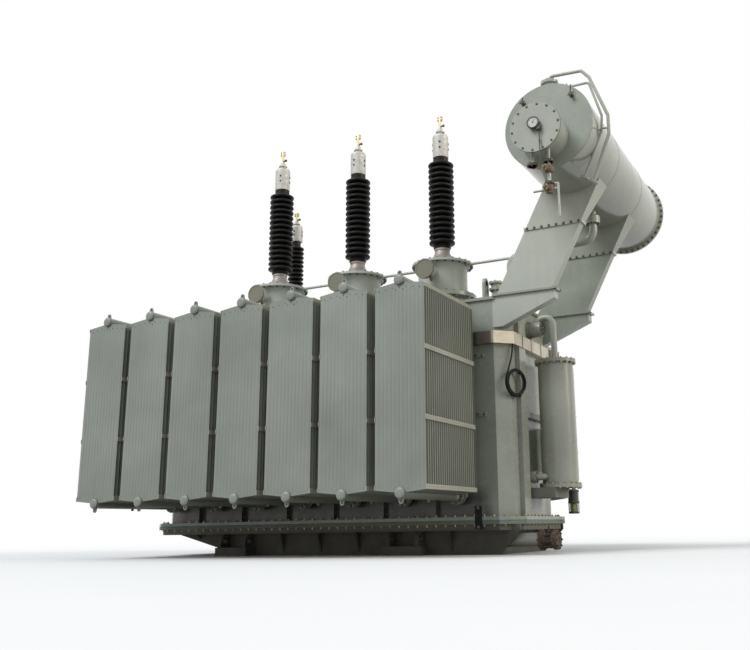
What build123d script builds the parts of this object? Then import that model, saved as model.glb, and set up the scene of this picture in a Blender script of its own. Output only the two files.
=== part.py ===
# Oil-filled power transformer, 110 kV class, with a bell tank, fourteen panel radiators,
# three line bushings, one neutral bushing and a conservator over the right-hand end.
# Millimetres. Origin on the ground under the middle of the tank, +X along the radiator row
# towards the conservator end, -Y towards the front radiators, +Z up.

import os
from math import radians, tan

from build123d import *

os.makedirs("parts", exist_ok=True)

# Tank
tank_length = 4420.0
tank_width = 1360.0
corner_cut = 130.0
flange_lip = 135.0
base_height = 292.0
flange_thickness = 32.0
gasket_thickness = 10.0
tank_top = 2590.0
cover_thickness = 30.0
cover_lip = 25.0
half_length = tank_length / 2
half_width = tank_width / 2
gasket_bottom = base_height + flange_thickness
tank_bottom = gasket_bottom + gasket_thickness
cover_top = tank_top + cover_thickness

# Radiators
radiators_a_side = 7
radiator_gap = 90.0
radiator_pitch = (tank_length - 150) / radiators_a_side
radiator_width = radiator_pitch - radiator_gap
radiator_bottom = 600.0
radiator_top = 2486.0
radiator_depth = 1122.0
header_gap = 198.0
row_centre = -160.0
panels_a_radiator = 13
panel_thickness = 12.0
panel_crown = 30.0
crown_half = 52.0
header_radius = 50.0
header_rise = 54.0
header_drop = 28.0
valve_radius = 84.0
strap_height = 45.0
strap_thickness = 6.0
strap_levels = [600.0, 1215.0, 1860.0]

# Bushings
phase_spacing = 0.26244 * tank_length
phase_centre = 35.0
pedestal_height = 205.0
turret_radius = 288.0
turret_height = 300.0
turret_flange_radius = 362.0
turret_flange_thickness = 45.0
mouth_height = 255.0
mouth_radius = 145.0
insulator_length = 1150.0
insulator_core_radius = 95.0
shed_radius = 154.0
sheds = 16
cap_radius = 98.0
cap_height = 315.0
stud_radius = 20.0
terminal_box_radius = 105.0
terminal_box_reach = 500.0

# Conservator
conservator_radius = 447.0
conservator_front = -1400.0
conservator_back = 1590.0
conservator_x = half_length + 806
conservator_z = 4066.0
conservator_bottom = conservator_z - conservator_radius
end_rim = 40.0
end_plate = 36.0
neck_x = conservator_x - 36.0
neck_z = conservator_z - 126.0
neck_radius = 232.0
neck_length = 285.0
neck_cover_radius = 252.0
neck_cover_thickness = 24.0

# Arms that carry the conservator
arm_root = half_length - 72
arm_width = 605.0
shelf_plate = 20.0
arm_foot = cover_top + shelf_plate
arm_joint = arm_foot + 0.674 * (conservator_bottom - arm_foot)
arm_depth = 120.0
arm_head_depth = 420.0
arm_past_conservator = 166.0
arm_run = conservator_x + arm_past_conservator - arm_root - arm_width / 2
arm_lean = arm_run / (conservator_z - arm_foot)


def block(corner, opposite):
    """A block between two opposite corners."""
    size = [b - a for a, b in zip(corner, opposite)]
    with BuildPart(Location(corner)) as piece:
        Box(*size, align=(Align.MIN, Align.MIN, Align.MIN))
    return piece.part


def rod(radius, start, end):
    """A round bar between two points."""
    way = Vector(*end) - Vector(*start)
    with BuildPart(Plane(origin=start, z_dir=way)) as piece:
        Cylinder(radius, way.length, align=(Align.CENTER, Align.CENTER, Align.MIN))
    return piece.part


def pipe(radius, points, bend):
    """A round pipe through the points, with bends of one radius."""
    with BuildPart() as piece:
        with BuildLine() as route:
            FilletPolyline(*points, radius=bend)
        with BuildSketch(Plane(origin=route.line @ 0, z_dir=route.line % 0)):
            Circle(radius)
        sweep()
    return piece.part


def part_way(start, end, share):
    """The point that lies a share of the way from start to end."""
    return tuple(a + (b - a) * share for a, b in zip(start, end))


def joined(*shapes):
    """Several touching shapes made into one piece."""
    with BuildPart() as piece:
        for shape in shapes:
            add(shape)
    return piece.part


def turned(profile, x, y):
    """A body turned about an upright axis at x, y from radius and height pairs."""
    with BuildPart() as piece:
        with BuildSketch(Plane.XZ):
            with BuildLine():
                Polyline(*profile, close=True)
            make_face()
        revolve(axis=Axis.Z)
    return Pos(x, y, 0) * piece.part


def side_plate(outline, start, end):
    """A plate from an outline of x, z points, between two values of y."""
    with BuildPart() as piece:
        with BuildSketch(Plane.XZ.offset(-start)):
            with BuildLine():
                Polyline(*outline, close=True)
            make_face()
        extrude(amount=start - end)
    return piece.part


def tank_plan(extra):
    """The eight-sided plan of the tank, made larger all round by extra."""
    length = half_length + extra
    width = half_width + extra
    cut = corner_cut + 0.586 * extra
    with BuildSketch() as plan:
        Rectangle(2 * length, 2 * width)
        chamfer(plan.vertices(), cut)
    return plan.sketch


def tank_slab(extra, bottom, top):
    """A plate with the tank's plan between two levels."""
    with BuildPart() as piece:
        with BuildSketch(Plane.XY.offset(bottom)):
            add(tank_plan(extra))
        extrude(amount=top - bottom)
    return piece.part


def save(shape, name):
    """Give a piece its name and write it."""
    shape.label = name
    export_step(shape, f"parts/{name}.step")


# Lower tank: a box that slopes up at its left end, with a band and a bolting flange
slope_start = 920 - half_length
slope_end = 260 - half_length
slope_top = 235.0
slope_foot = 60.0
base_end = half_length - 134
band_lip = 90.0
gusset_reach = 225.0
gusset_thickness = 20.0
base_outline = [
    (-half_length, base_height),
    (-half_length, slope_top),
    (slope_end, slope_top),
    (slope_start, slope_foot),
    (slope_start, 0),
    (base_end, 0),
    (base_end, base_height),
]
gusset_outline = [
    (base_end, 0),
    (base_end + gusset_reach, slope_top),
    (base_end + gusset_reach, base_height),
    (base_end, base_height),
]
gusset_places = [-half_width, half_width - gusset_thickness]
side_gussets = [slope_start - 360, -480.0, 0.0, 480.0, base_end - 516]
side_gusset_foot = 30.0


def side_gusset(x, side):
    """A three-cornered plate under the flange, on the front for side -1."""
    wall = side * half_width
    foot = side_gusset_foot
    if x < slope_start:
        foot += (slope_start - x) / (slope_start - slope_end) * (slope_top - slope_foot) + slope_foot
    with BuildPart() as plate:
        with BuildSketch(Plane.YZ.offset(x)):
            with BuildLine():
                Polyline((wall, foot), (wall + side * band_lip, slope_top), (wall, slope_top), close=True)
            make_face()
        extrude(amount=gusset_thickness / 2, both=True)
    return plate.part


save(
    joined(
        side_plate(base_outline, -half_width, half_width),
        *[side_plate(gusset_outline, y, y + gusset_thickness) for y in gusset_places],
        *[side_gusset(x, side) for x in side_gussets for side in (-1, 1)],
        tank_slab(band_lip, slope_top, base_height),
        tank_slab(flange_lip, base_height, gasket_bottom),
    ),
    "base_tank",
)

# Jacking pads with towing lugs over them, two on each long side
pad_centre = 0.484 * half_length
pad_width = 420.0
pad_reach = 190.0
pad_height = 90.0
lug_spacing = 330.0
lug_reach = 165.0
lug_thickness = 30.0
lug_hole_radius = 30.0
lug_top = slope_top


def jacking_point(x, side):
    """One pad with its two lugs, on the front for side -1 or the back for side 1."""
    wall = side * half_width
    inner, outer = sorted([wall, wall + side * pad_reach])
    pad = block((x - pad_width / 2, inner, 0), (x + pad_width / 2, outer, pad_height))
    with BuildPart() as lugs:
        for lug_x in (x - lug_spacing / 2, x + lug_spacing / 2):
            with BuildSketch(Plane.YZ.offset(lug_x)):
                with BuildLine():
                    Polyline(
                        (wall, lug_top),
                        (wall, pad_height),
                        (wall + side * lug_reach, pad_height),
                    )
                    ThreePointArc(
                        (wall + side * lug_reach, pad_height),
                        (wall + side * lug_reach * 0.86, pad_height + (lug_top - pad_height) * 0.7),
                        (wall + side * lug_reach * 0.5, lug_top),
                    )
                    Line((wall + side * lug_reach * 0.5, lug_top), (wall, lug_top))
                make_face()
                with Locations((wall + side * lug_reach * 0.55, pad_height + 70)):
                    Circle(lug_hole_radius, mode=Mode.SUBTRACT)
            extrude(amount=lug_thickness / 2, both=True)
    return joined(pad, lugs.part)


save(
    Compound(
        children=[
            jacking_point(x, side) for x in (-pad_centre, pad_centre) for side in (-1, 1)
        ]
    ),
    "jacking_points",
)

# Gasket and bell tank with its stiffening ribs
rib_depth = 50.0
rib_width = 190.0
rib_offset = half_width - 370
rib_bottom = tank_bottom + flange_thickness
duct_depth = 60.0
duct_bottom = 2115.0
duct_height = 130.0
duct_top = duct_bottom + duct_height
cross_rib_bottom = 1385.0
cross_rib_height = 60.0
save(tank_slab(flange_lip, gasket_bottom, tank_bottom), "flange_gasket")
end_ribs = []
for side in (-1, 1):
    wall = side * half_length
    inner, outer = sorted([wall, wall + side * rib_depth])
    for low, high in ((rib_bottom, duct_bottom), (duct_top, tank_top)):
        end_ribs.append(
            block((inner, -rib_offset - rib_width / 2, low), (outer, -rib_offset + rib_width / 2, high))
        )
    end_ribs.append(
        block(
            (inner, -rib_offset + rib_width / 2, cross_rib_bottom),
            (outer, half_width - corner_cut, cross_rib_bottom + cross_rib_height),
        )
    )
channel_width = 100.0
channel_depth = 60.0
channel_top = tank_top - 90
wall_channels = []
for i in range(1, radiators_a_side):
    x = row_centre + (i - radiators_a_side / 2) * radiator_pitch
    for side in (-1, 1):
        inner, outer = sorted([side * half_width, side * (half_width + channel_depth)])
        wall_channels.append(
            block(
                (x - channel_width / 2, inner, rib_bottom),
                (x + channel_width / 2, outer, channel_top),
            )
        )
strap_x = half_length - 330
strap_width = 75.0
strap_bottom = 250.0
strap_top = 470.0
strap_front = -half_width - flange_lip
earth_strap = block(
    (strap_x, strap_front - 8, strap_bottom), (strap_x + strap_width, strap_front, strap_top)
)
save(
    joined(
        tank_slab(flange_lip, tank_bottom, tank_bottom + flange_thickness),
        tank_slab(0, tank_bottom + flange_thickness, tank_top),
        *end_ribs,
        *wall_channels,
        earth_strap,
    ),
    "bell_tank",
)

# Cover with the round pedestals of the three turrets
pedestal_top = cover_top + pedestal_height
turret_foot = pedestal_top + turret_flange_thickness
turret_top = turret_foot + turret_height
flange_top = turret_top + turret_flange_thickness
mouth_top = flange_top + mouth_height
insulator_top = mouth_top + insulator_length
phases = [phase_centre + step * phase_spacing for step in (-1, 0, 1)]
pedestal_rim = turret_flange_radius + 28
pedestal_profile = [
    (0, tank_top),
    (turret_radius, tank_top),
    (turret_radius, pedestal_top),
    (pedestal_rim, pedestal_top),
    (pedestal_rim, turret_foot),
    (0, turret_foot),
]
lifting_x = half_length - 258
lifting_y = half_width - 140
lifting_height = 250.0
lifting_width = 120.0
lifting_thickness = 28.0
lifting_hole = 30.0


def lifting_plate(x, y):
    """An upright plate with a rounded top and a hole."""
    half = lifting_width / 2
    eye = cover_top + lifting_height - half
    with BuildPart() as plate:
        with BuildSketch(Plane.YZ.offset(x)):
            with BuildLine():
                Polyline((y - half, eye), (y - half, cover_top), (y + half, cover_top), (y + half, eye))
                ThreePointArc((y + half, eye), (y, eye + half), (y - half, eye))
            make_face()
            with Locations((y, eye)):
                Circle(lifting_hole, mode=Mode.SUBTRACT)
        extrude(amount=lifting_thickness / 2, both=True)
    return plate.part


lifting_places = [(x, y) for x in (-lifting_x, lifting_x) for y in (-lifting_y, lifting_y)]
save(
    joined(
        tank_slab(cover_lip, tank_top, cover_top),
        *[turned(pedestal_profile, x, 0) for x in phases],
        *[lifting_plate(x, y) for x, y in lifting_places],
    ),
    "tank_cover",
)

# Radiators: panels on two round headers, with straps down both sides
front_face = half_width + header_gap + radiator_depth
header_levels = [radiator_bottom - header_drop, radiator_top + header_rise]
panel_step = (radiator_depth - panel_thickness) / (panels_a_radiator - 1)
half_panel = radiator_width / 2
header_cap = 22.0
valve_gap = 60.0
valve_flange = 18.0
valve_body = 46.0
valve_waist = header_radius + 16.0
panel_outline = [
    (-half_panel, radiator_bottom),
    (-crown_half, radiator_bottom - header_drop + 6),
    (crown_half, radiator_bottom - header_drop + 6),
    (half_panel, radiator_bottom),
    (half_panel, radiator_top),
    (crown_half, radiator_top + panel_crown),
    (-crown_half, radiator_top + panel_crown),
    (-half_panel, radiator_top),
]
radiator_pieces = []
for i in range(panels_a_radiator):
    y = i * panel_step
    radiator_pieces.append(side_plate(panel_outline, y, y + panel_thickness))
for level in header_levels:
    flange_start = radiator_depth + valve_gap
    flange_end = flange_start + 2 * valve_flange + valve_body
    radiator_pieces += [
        rod(header_radius, (0, -header_cap, level), (0, radiator_depth + header_gap, level)),
        rod(valve_radius, (0, flange_start, level), (0, flange_start + valve_flange, level)),
        rod(valve_radius, (0, flange_end - valve_flange, level), (0, flange_end, level)),
        rod(valve_waist, (0, flange_start, level), (0, flange_end, level)),
    ]
for level in strap_levels:
    for side in (-1, 1):
        inner, outer = sorted([side * half_panel, side * (half_panel + strap_thickness)])
        radiator_pieces.append(
            block((inner, 0, level), (outer, radiator_depth, level + strap_height))
        )
radiator = joined(*radiator_pieces)
for i in range(radiators_a_side):
    x = row_centre + (i - (radiators_a_side - 1) / 2) * radiator_pitch
    save(Pos(x, -front_face, 0) * radiator, f"radiator_front_{i + 1}")
    save(Pos(x, front_face, 0) * (Rot(0, 0, 180) * radiator), f"radiator_back_{i + 1}")


# Turrets and bushings
def turret(x):
    """A round turret with its upper flange, flared top and terminal box."""
    profile = [
        (0, turret_foot),
        (turret_radius, turret_foot),
        (turret_radius, turret_top),
        (turret_flange_radius, turret_top),
        (turret_flange_radius, flange_top),
        (turret_flange_radius * 0.74, flange_top),
        (turret_flange_radius * 0.7, flange_top + 25),
        (mouth_radius * 0.8, mouth_top - 70),
        (mouth_radius, mouth_top - 45),
        (mouth_radius, mouth_top),
        (0, mouth_top),
    ]
    level = turret_top - terminal_box_radius * 0.62
    lid = 45.0
    return joined(
        turned(profile, x, 0),
        rod(
            terminal_box_radius * 0.58,
            (x, -turret_radius * 0.9, level),
            (x, lid - terminal_box_reach, level),
        ),
        rod(
            terminal_box_radius,
            (x, lid - terminal_box_reach, level),
            (x, -terminal_box_reach, level),
        ),
    )


def insulator(x, y, foot, length, count, core, rim):
    """A stack of thin drooping sheds on a round core."""
    step = length / count
    profile = [(0, foot)]
    for i in range(count):
        profile.append((core, foot + i * step))
        profile.append((rim, foot + (i + 0.3) * step))
        profile.append((rim, foot + (i + 0.42) * step))
    profile.append((core, foot + length))
    profile.append((0, foot + length))
    return turned(profile, x, y)


def bushing_cap(x, y, foot, radius, height):
    """The dark neck, metal head, shoulder ring and terminal stud of a bushing."""
    profile = [
        (0, foot),
        (radius * 0.72, foot),
        (radius * 0.72, foot + height * 0.2),
        (radius, foot + height * 0.2),
        (radius, foot + height * 0.92),
        (radius * 0.42, foot + height),
        (radius * 0.42, foot + height * 1.06),
        (radius * 0.55, foot + height * 1.06),
        (radius * 0.55, foot + height * 1.24),
        (stud_radius, foot + height * 1.24),
        (stud_radius, foot + height * 1.78),
        (0, foot + height * 1.78),
    ]
    return turned(profile, x, y)


for i, x in enumerate(phases):
    save(turret(x), f"turret_{i + 1}")
    save(
        insulator(
            x, 0, mouth_top, insulator_length, sheds, insulator_core_radius, shed_radius
        ),
        f"insulator_{i + 1}",
    )
    save(bushing_cap(x, 0, insulator_top, cap_radius, cap_height), f"bushing_cap_{i + 1}")

neutral_x = phases[0] - 125
neutral_y = half_width - 150
neutral_foot = 3300.0
neutral_length = 830.0
neutral_sheds = 11
neutral_tube = 92.0
neutral_rim = 132.0
neutral_core = 62.0
neutral_shed = 105.0
neutral_cap_radius = 78.0
neutral_cap_height = 210.0
neutral_profile = [
    (0, cover_top),
    (neutral_rim, cover_top),
    (neutral_rim, cover_top + 40),
    (neutral_tube, cover_top + 40),
    (neutral_tube, neutral_foot - 40),
    (neutral_rim, neutral_foot - 40),
    (neutral_rim, neutral_foot),
    (0, neutral_foot),
]
save(turned(neutral_profile, neutral_x, neutral_y), "neutral_turret")
save(
    insulator(
        neutral_x,
        neutral_y,
        neutral_foot,
        neutral_length,
        neutral_sheds,
        neutral_core,
        neutral_shed,
    ),
    "insulator_neutral",
)
save(
    bushing_cap(
        neutral_x,
        neutral_y,
        neutral_foot + neutral_length,
        neutral_cap_radius,
        neutral_cap_height,
    ),
    "bushing_cap_neutral",
)

# Low-voltage bushings: a row of short bushings on the cover behind the turrets
low_voltage_places = [phases[1] + step * 590 for step in (-1, 0, 1)]
low_voltage_y = half_width - 180
low_voltage_foot = cover_top + 32
low_voltage_rim = 82.0
low_voltage_length = 230.0
low_voltage_core = 42.0
low_voltage_shed = 68.0
low_voltage_stud = 16.0
low_voltage_profile = [
    (0, cover_top),
    (low_voltage_rim, cover_top),
    (low_voltage_rim, low_voltage_foot),
    (low_voltage_core, low_voltage_foot),
]
low_voltage_sheds = 4
shed_step = low_voltage_length / low_voltage_sheds
for i in range(low_voltage_sheds):
    level = low_voltage_foot + i * shed_step
    low_voltage_profile += [
        (low_voltage_core, level + shed_step * 0.3),
        (low_voltage_shed, level + shed_step * 0.4),
        (low_voltage_shed, level + shed_step * 0.55),
        (low_voltage_core, level + shed_step),
    ]
low_voltage_top = low_voltage_foot + low_voltage_length
low_voltage_profile += [
    (low_voltage_stud, low_voltage_top),
    (low_voltage_stud, low_voltage_top + 60),
    (0, low_voltage_top + 60),
]
save(
    Compound(
        children=[turned(low_voltage_profile, x, low_voltage_y) for x in low_voltage_places]
    ),
    "low_voltage_bushings",
)

# Conservator: shell with a filler dome, an end plate and an offset manhole neck at each end
dome_x = conservator_x - 21
dome_y = conservator_front + 185
dome_top = conservator_z + conservator_radius + 118
dome_radius = 66.0
dome_flange = 90.0
save(
    joined(
        rod(
            conservator_radius,
            (conservator_x, conservator_front, conservator_z),
            (conservator_x, conservator_back, conservator_z),
        ),
        rod(dome_radius, (dome_x, dome_y, conservator_z), (dome_x, dome_y, dome_top)),
        rod(dome_flange, (dome_x, dome_y, dome_top - 28), (dome_x, dome_y, dome_top)),
    ),
    "conservator_shell",
)


def manhole(start, way):
    """A neck with its bolted cover, standing out of a conservator end."""
    end = start + way * neck_length
    return joined(
        rod(neck_radius, (neck_x, start, neck_z), (neck_x, end, neck_z)),
        rod(
            neck_cover_radius,
            (neck_x, end, neck_z),
            (neck_x, end + way * neck_cover_thickness, neck_z),
        ),
    )


save(
    joined(
        rod(
            conservator_radius + end_rim,
            (conservator_x, conservator_back, conservator_z),
            (conservator_x, conservator_back + end_plate, conservator_z),
        ),
        manhole(conservator_back + end_plate, 1),
    ),
    "conservator_end_far",
)

gauge_face = conservator_front - neck_length - neck_cover_thickness
gauge_z = neck_z + 25
save(
    joined(
        rod(62, (neck_x, gauge_face, gauge_z), (neck_x, gauge_face - 42, gauge_z)),
        rod(50, (neck_x, gauge_face - 42, gauge_z), (neck_x, gauge_face - 60, gauge_z)),
    ),
    "level_gauge",
)

# Pipes round the right-hand side of the conservator
outer_pipe_radius = 17.0
inner_pipe_radius = 13.0
pipe_flange = 44.0
pipe_flange_thickness = 22.0
pipe_spacing = 60.0
inner_y = dome_y + pipe_spacing
clamp_radius = 9.0


def beside(across, up, y=dome_y):
    """A point on a pipe's route, measured across and up from the conservator's axis."""
    return (conservator_x + across, y, conservator_z + up)


outer_route = [
    (dome_x, dome_y, dome_top),
    (dome_x, dome_y, dome_top + 62),
    beside(314, 612),
    beside(389, 524),
    beside(554, 74),
    beside(552, -116),
    beside(369, -596),
]
inner_route = [
    beside(154, 374, inner_y),
    beside(154, 499, inner_y),
    beside(366, 499, inner_y),
    beside(478, 114, inner_y),
    beside(468, -46, inner_y),
    beside(264, -511, inner_y),
]


def conservator_pipe(radius, route, bend):
    """A pipe with a bolted flange at its lower end."""
    end = Vector(*route[-1])
    back = (Vector(*route[-2]) - end).normalized()
    top = end + back * pipe_flange_thickness
    return joined(
        pipe(radius, route, bend),
        rod(pipe_flange, tuple(end), tuple(top)),
    )


outer_pipe = conservator_pipe(outer_pipe_radius, outer_route, 40)
inner_pipe = conservator_pipe(inner_pipe_radius, inner_route, 40)
shell_cut = rod(
    conservator_radius,
    (conservator_x, conservator_front, conservator_z),
    (conservator_x, conservator_back, conservator_z),
)
inner_clamp = part_way(inner_route[3], inner_route[4], 0.85)
outer_clamp = part_way(outer_route[4], outer_route[5], 0.7)
clamps = joined(
    rod(clamp_radius, beside(0.9 * conservator_radius, -70, inner_y), inner_clamp),
    rod(clamp_radius, inner_clamp, outer_clamp),
)
save((outer_pipe + inner_pipe + clamps) - shell_cut, "breather_pipes")

# Near manhole with the drain and filling valves under its neck
valve_y = conservator_front - neck_length * 0.7
drain_x = neck_x - 75.0
filling_x = neck_x + 88.0
small_pipe = 17.0
small_flange = 48.0
small_valve = 37.0
spout_radius = 11.0
spout_shift = 82.0


def below(drop, x):
    """A point under the near manhole, drop below the bottom of the conservator."""
    return (x, valve_y, conservator_bottom - drop)


save(
    joined(
        manhole(conservator_front, -1),
        rod(small_pipe, (drain_x, valve_y, neck_z), below(7, drain_x)),
        rod(small_flange, below(7, drain_x), below(31, drain_x)),
        rod(small_pipe, (filling_x, valve_y, neck_z), below(219, filling_x)),
        rod(small_flange, below(-6, filling_x), below(19, filling_x)),
        rod(small_valve, below(59, filling_x), below(119, filling_x)),
        rod(small_flange, below(219, filling_x), below(243, filling_x)),
        rod(small_valve, below(243, filling_x), below(329, filling_x)),
        rod(spout_radius, below(289, filling_x + spout_shift), below(289, drain_x)),
        rod(spout_radius, below(240, filling_x + spout_shift), below(289, filling_x + spout_shift)),
        rod(spout_radius, below(240, filling_x), below(240, filling_x + spout_shift)),
        rod(spout_radius, below(289, filling_x + spout_shift), below(569, filling_x + spout_shift)),
    ),
    "manhole_near",
)


# Arms under the conservator, each on a shelf at a corner of the tank
def lean(x, z):
    """Where a line that leans with the arm, from x at the foot, is at height z."""
    return x + (z - arm_foot) * arm_lean


def arm(side):
    """A lower box arm, a head that deepens towards +Y up to a saddle, and a bolted joint."""
    start, end = sorted([side * half_width, side * (half_width - arm_depth)])
    right = arm_root + arm_width
    lower = side_plate(
        [
            (arm_root, arm_foot),
            (right, arm_foot),
            (lean(right, arm_joint), arm_joint),
            (lean(arm_root, arm_joint), arm_joint),
        ],
        start,
        end,
    )
    sections = []
    for level, depth in ((arm_joint, arm_depth), (conservator_z, arm_head_depth)):
        middle = start + depth / 2
        with BuildSketch(Plane.XY.offset(level)) as section:
            with Locations((lean(arm_root + arm_width / 2, level), middle)):
                Rectangle(arm_width, depth)
        sections.append(section.sketch)
    with BuildPart() as head:
        loft(sections=sections)
    head = head.part - shell_cut
    head = head.solids().sort_by(Axis.Z)[0]
    rim = 14.0
    joint = block(
        (lean(arm_root, arm_joint) - rim, start - rim, arm_joint - 15),
        (lean(right, arm_joint) + rim, end + rim, arm_joint + 15),
    )
    return joined(lower, head, joint)


shelf_root = half_length - corner_cut
shelf_tip = arm_root + arm_width + shelf_plate
shelf_foot = duct_top + 45
shelf_tip_foot = arm_foot - 110
shelf_outline = [
    (shelf_root, shelf_foot),
    (shelf_root + 110, shelf_foot),
    (shelf_tip, shelf_tip_foot),
    (shelf_tip, arm_foot),
    (shelf_root, arm_foot),
]


def shelf(side):
    """The web and top plate that carry an arm beyond the tank's cut corner."""
    start, end = sorted([side * half_width, side * (half_width - arm_depth)])
    body = side_plate(shelf_outline, start, end)
    return (
        body
        - tank_slab(duct_depth, duct_bottom, duct_top)
        - tank_slab(0, tank_bottom, tank_top)
        - tank_slab(cover_lip, tank_top, cover_top)
    )


save(joined(arm(-1), shelf(-1)), "arm_near")
save(joined(arm(1), shelf(1)), "arm_far")

# Gas pipe along the turrets, and the oil pipe from the cover up to the conservator
oil_pipe_radius = 43.0
oil_pipe_x = half_length - 165
oil_pipe_level = arm_joint
oil_pipe_slope = 60.0
riser_x = conservator_x + 14
flange_radius = 78.0
flange_plate = 24.0
relay_start = 0.38
relay_length = 200.0
relay_radius = 72.0
relay_flange = 88.0
relay_head = 105.0
gas_pipe_radius = 16.0
gas_pipe_level = flange_top + gas_pipe_radius
gas_stop = turret_flange_radius * 0.76
gas_pieces = []
for start, end in zip(phases[:-1], phases[1:]):
    gas_pieces.append(
        rod(
            gas_pipe_radius,
            (start + gas_stop, 0, gas_pipe_level),
            (end - gas_stop, 0, gas_pipe_level),
        )
    )
run_start = Vector(oil_pipe_x, 0, oil_pipe_level - oil_pipe_slope)
run = Vector(riser_x, 0, oil_pipe_level) - run_start
run_way = run.normalized()
relay_in = run_start + run * relay_start
relay_out = relay_in + run_way * relay_length
relay_middle = relay_in + run_way * relay_length / 2
oil_pipe = joined(
    pipe(
        oil_pipe_radius,
        [
            (oil_pipe_x, 0, cover_top),
            (oil_pipe_x, 0, oil_pipe_level - oil_pipe_slope),
            (riser_x, 0, oil_pipe_level),
            (riser_x, 0, conservator_bottom + 100),
        ],
        120,
    ),
    rod(flange_radius, (oil_pipe_x, 0, cover_top), (oil_pipe_x, 0, cover_top + flange_plate)),
    rod(flange_radius, (riser_x, 0, conservator_bottom - 139), (riser_x, 0, conservator_bottom - 59)),
    rod(relay_radius, tuple(relay_in), tuple(relay_out)),
    rod(relay_flange, tuple(relay_in), tuple(relay_in + run_way * flange_plate)),
    rod(relay_flange, tuple(relay_out - run_way * flange_plate), tuple(relay_out)),
    rod(relay_radius * 0.8, tuple(relay_middle), tuple(relay_middle + Vector(0, 0, relay_head))),
    rod(
        gas_pipe_radius,
        (phases[-1] + gas_stop, 0, gas_pipe_level),
        (oil_pipe_x, 0, gas_pipe_level),
    ),
)
save(Compound(children=[*gas_pieces, oil_pipe - shell_cut]), "oil_pipe")

# Valve and lifting plate on the cover
cover_valve_x = half_length - 166
cover_valve_y = 210 - half_width
save(
    turned(
        [
            (0, cover_top),
            (42, cover_top),
            (42, cover_top + 120),
            (72, cover_top + 120),
            (72, cover_top + 142),
            (50, cover_top + 142),
            (50, cover_top + 190),
            (72, cover_top + 190),
            (72, cover_top + 212),
            (0, cover_top + 212),
        ],
        cover_valve_x,
        cover_valve_y,
    ),
    "cover_valve",
)

# Oil purifier on the right-hand end wall
purifier_x = half_length + 290
purifier_y = 50.0
purifier_radius = 190.0
purifier_bottom = 655.0
purifier_top = 2010.0
purifier_rim = 222.0
purifier_profile = [
    (0, purifier_bottom),
    (purifier_rim, purifier_bottom),
    (purifier_rim, purifier_bottom + 36),
    (purifier_radius, purifier_bottom + 36),
    (purifier_radius, purifier_top - 36),
    (purifier_rim, purifier_top - 36),
    (purifier_rim, purifier_top),
    (0, purifier_top),
]
save(turned(purifier_profile, purifier_x, purifier_y), "purifier_vessel")

stand_reach = 300.0
stand_width = 450.0
stand_height = 100.0
save(
    block(
        (half_length, purifier_y - stand_width / 2, purifier_bottom - stand_height),
        (half_length + stand_reach, purifier_y + stand_width / 2, purifier_bottom),
    ),
    "purifier_stand",
)

u_leg_x = half_length + 95
u_top = 2500.0
u_radius = 34.0
valve_level = 2375.0
upper_pipe = joined(
        pipe(
            u_radius,
            [
                (purifier_x, purifier_y, purifier_top),
                (purifier_x, purifier_y, u_top),
                (u_leg_x, purifier_y, u_top),
                (u_leg_x, purifier_y, valve_level),
            ],
            92,
        ),
        rod(85, (half_length, purifier_y, valve_level), (u_leg_x + 60, purifier_y, valve_level)),
        rod(100, (half_length, purifier_y, valve_level), (half_length + 22, purifier_y, valve_level)),
)
low_pipe_level = 765.0
low_pipe_radius = 36.0
low_flange_radius = 62.0
low_pipe_y = rib_width / 2 - rib_offset + 65
low_pipe_x = half_length + 190
vessel_cut = rod(
    purifier_radius, (purifier_x, purifier_y, purifier_bottom), (purifier_x, purifier_y, purifier_top)
)


def on_low_pipe(start, length):
    """A flange on the lower pipe, start from the wall and length thick."""
    x = half_length + start
    return rod(
        low_flange_radius,
        (x, low_pipe_y, low_pipe_level),
        (x + length, low_pipe_y, low_pipe_level),
    )


lower_pipe = joined(
    pipe(
        low_pipe_radius,
        [
            (half_length, low_pipe_y, low_pipe_level),
            (low_pipe_x, low_pipe_y, low_pipe_level),
            (low_pipe_x, purifier_y, low_pipe_level),
        ],
        70,
    ),
    on_low_pipe(0, 20),
    on_low_pipe(50, 46),
)
save(Compound(children=[upper_pipe, lower_pipe - vessel_cut]), "purifier_pipes")

# Silica-gel breather, control box and cable duct on the end wall
breather_x = purifier_x
breather_y = half_width - 210
breather_profile = [
    (0, 392),
    (50, 392),
    (50, 410),
    (42, 410),
    (42, 500),
    (62, 500),
    (62, 640),
    (30, 655),
    (0, 655),
]

box_front = half_length + 250
box_far = half_width - 40
box_near = box_far - 310
box_bottom = 840.0
box_top = 1310.0
save(block((half_length, box_near, box_bottom), (box_front, box_far, box_top)), "control_box")
breather_route = [
    (breather_x, breather_y, 650),
    (breather_x, breather_y, 730),
    (breather_x, box_far + 40, 730),
    (breather_x, box_far + 40, duct_bottom - 60),
    (half_length, half_width - corner_cut - 60, duct_bottom - 60),
]
gel_breather = joined(
    turned(breather_profile, breather_x, breather_y), pipe(12, breather_route, 40)
)
save(gel_breather - tank_slab(0, tank_bottom, tank_top), "gel_breather")

duct_start = half_length - 760
duct_end_y = half_width - corner_cut - 20
with BuildPart() as cable_duct:
    with BuildSketch(Plane.XY.offset(duct_bottom)):
        add(tank_plan(duct_depth))
        add(tank_plan(0), mode=Mode.SUBTRACT)
        with Locations((duct_start - tank_length, 0)):
            Rectangle(2 * tank_length, 2 * tank_width, mode=Mode.SUBTRACT)
        with Locations((half_length, duct_end_y + tank_width)):
            Rectangle(tank_length, 2 * tank_width, mode=Mode.SUBTRACT)
    extrude(amount=duct_height)
save(cable_duct.part, "cable_duct")

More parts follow.
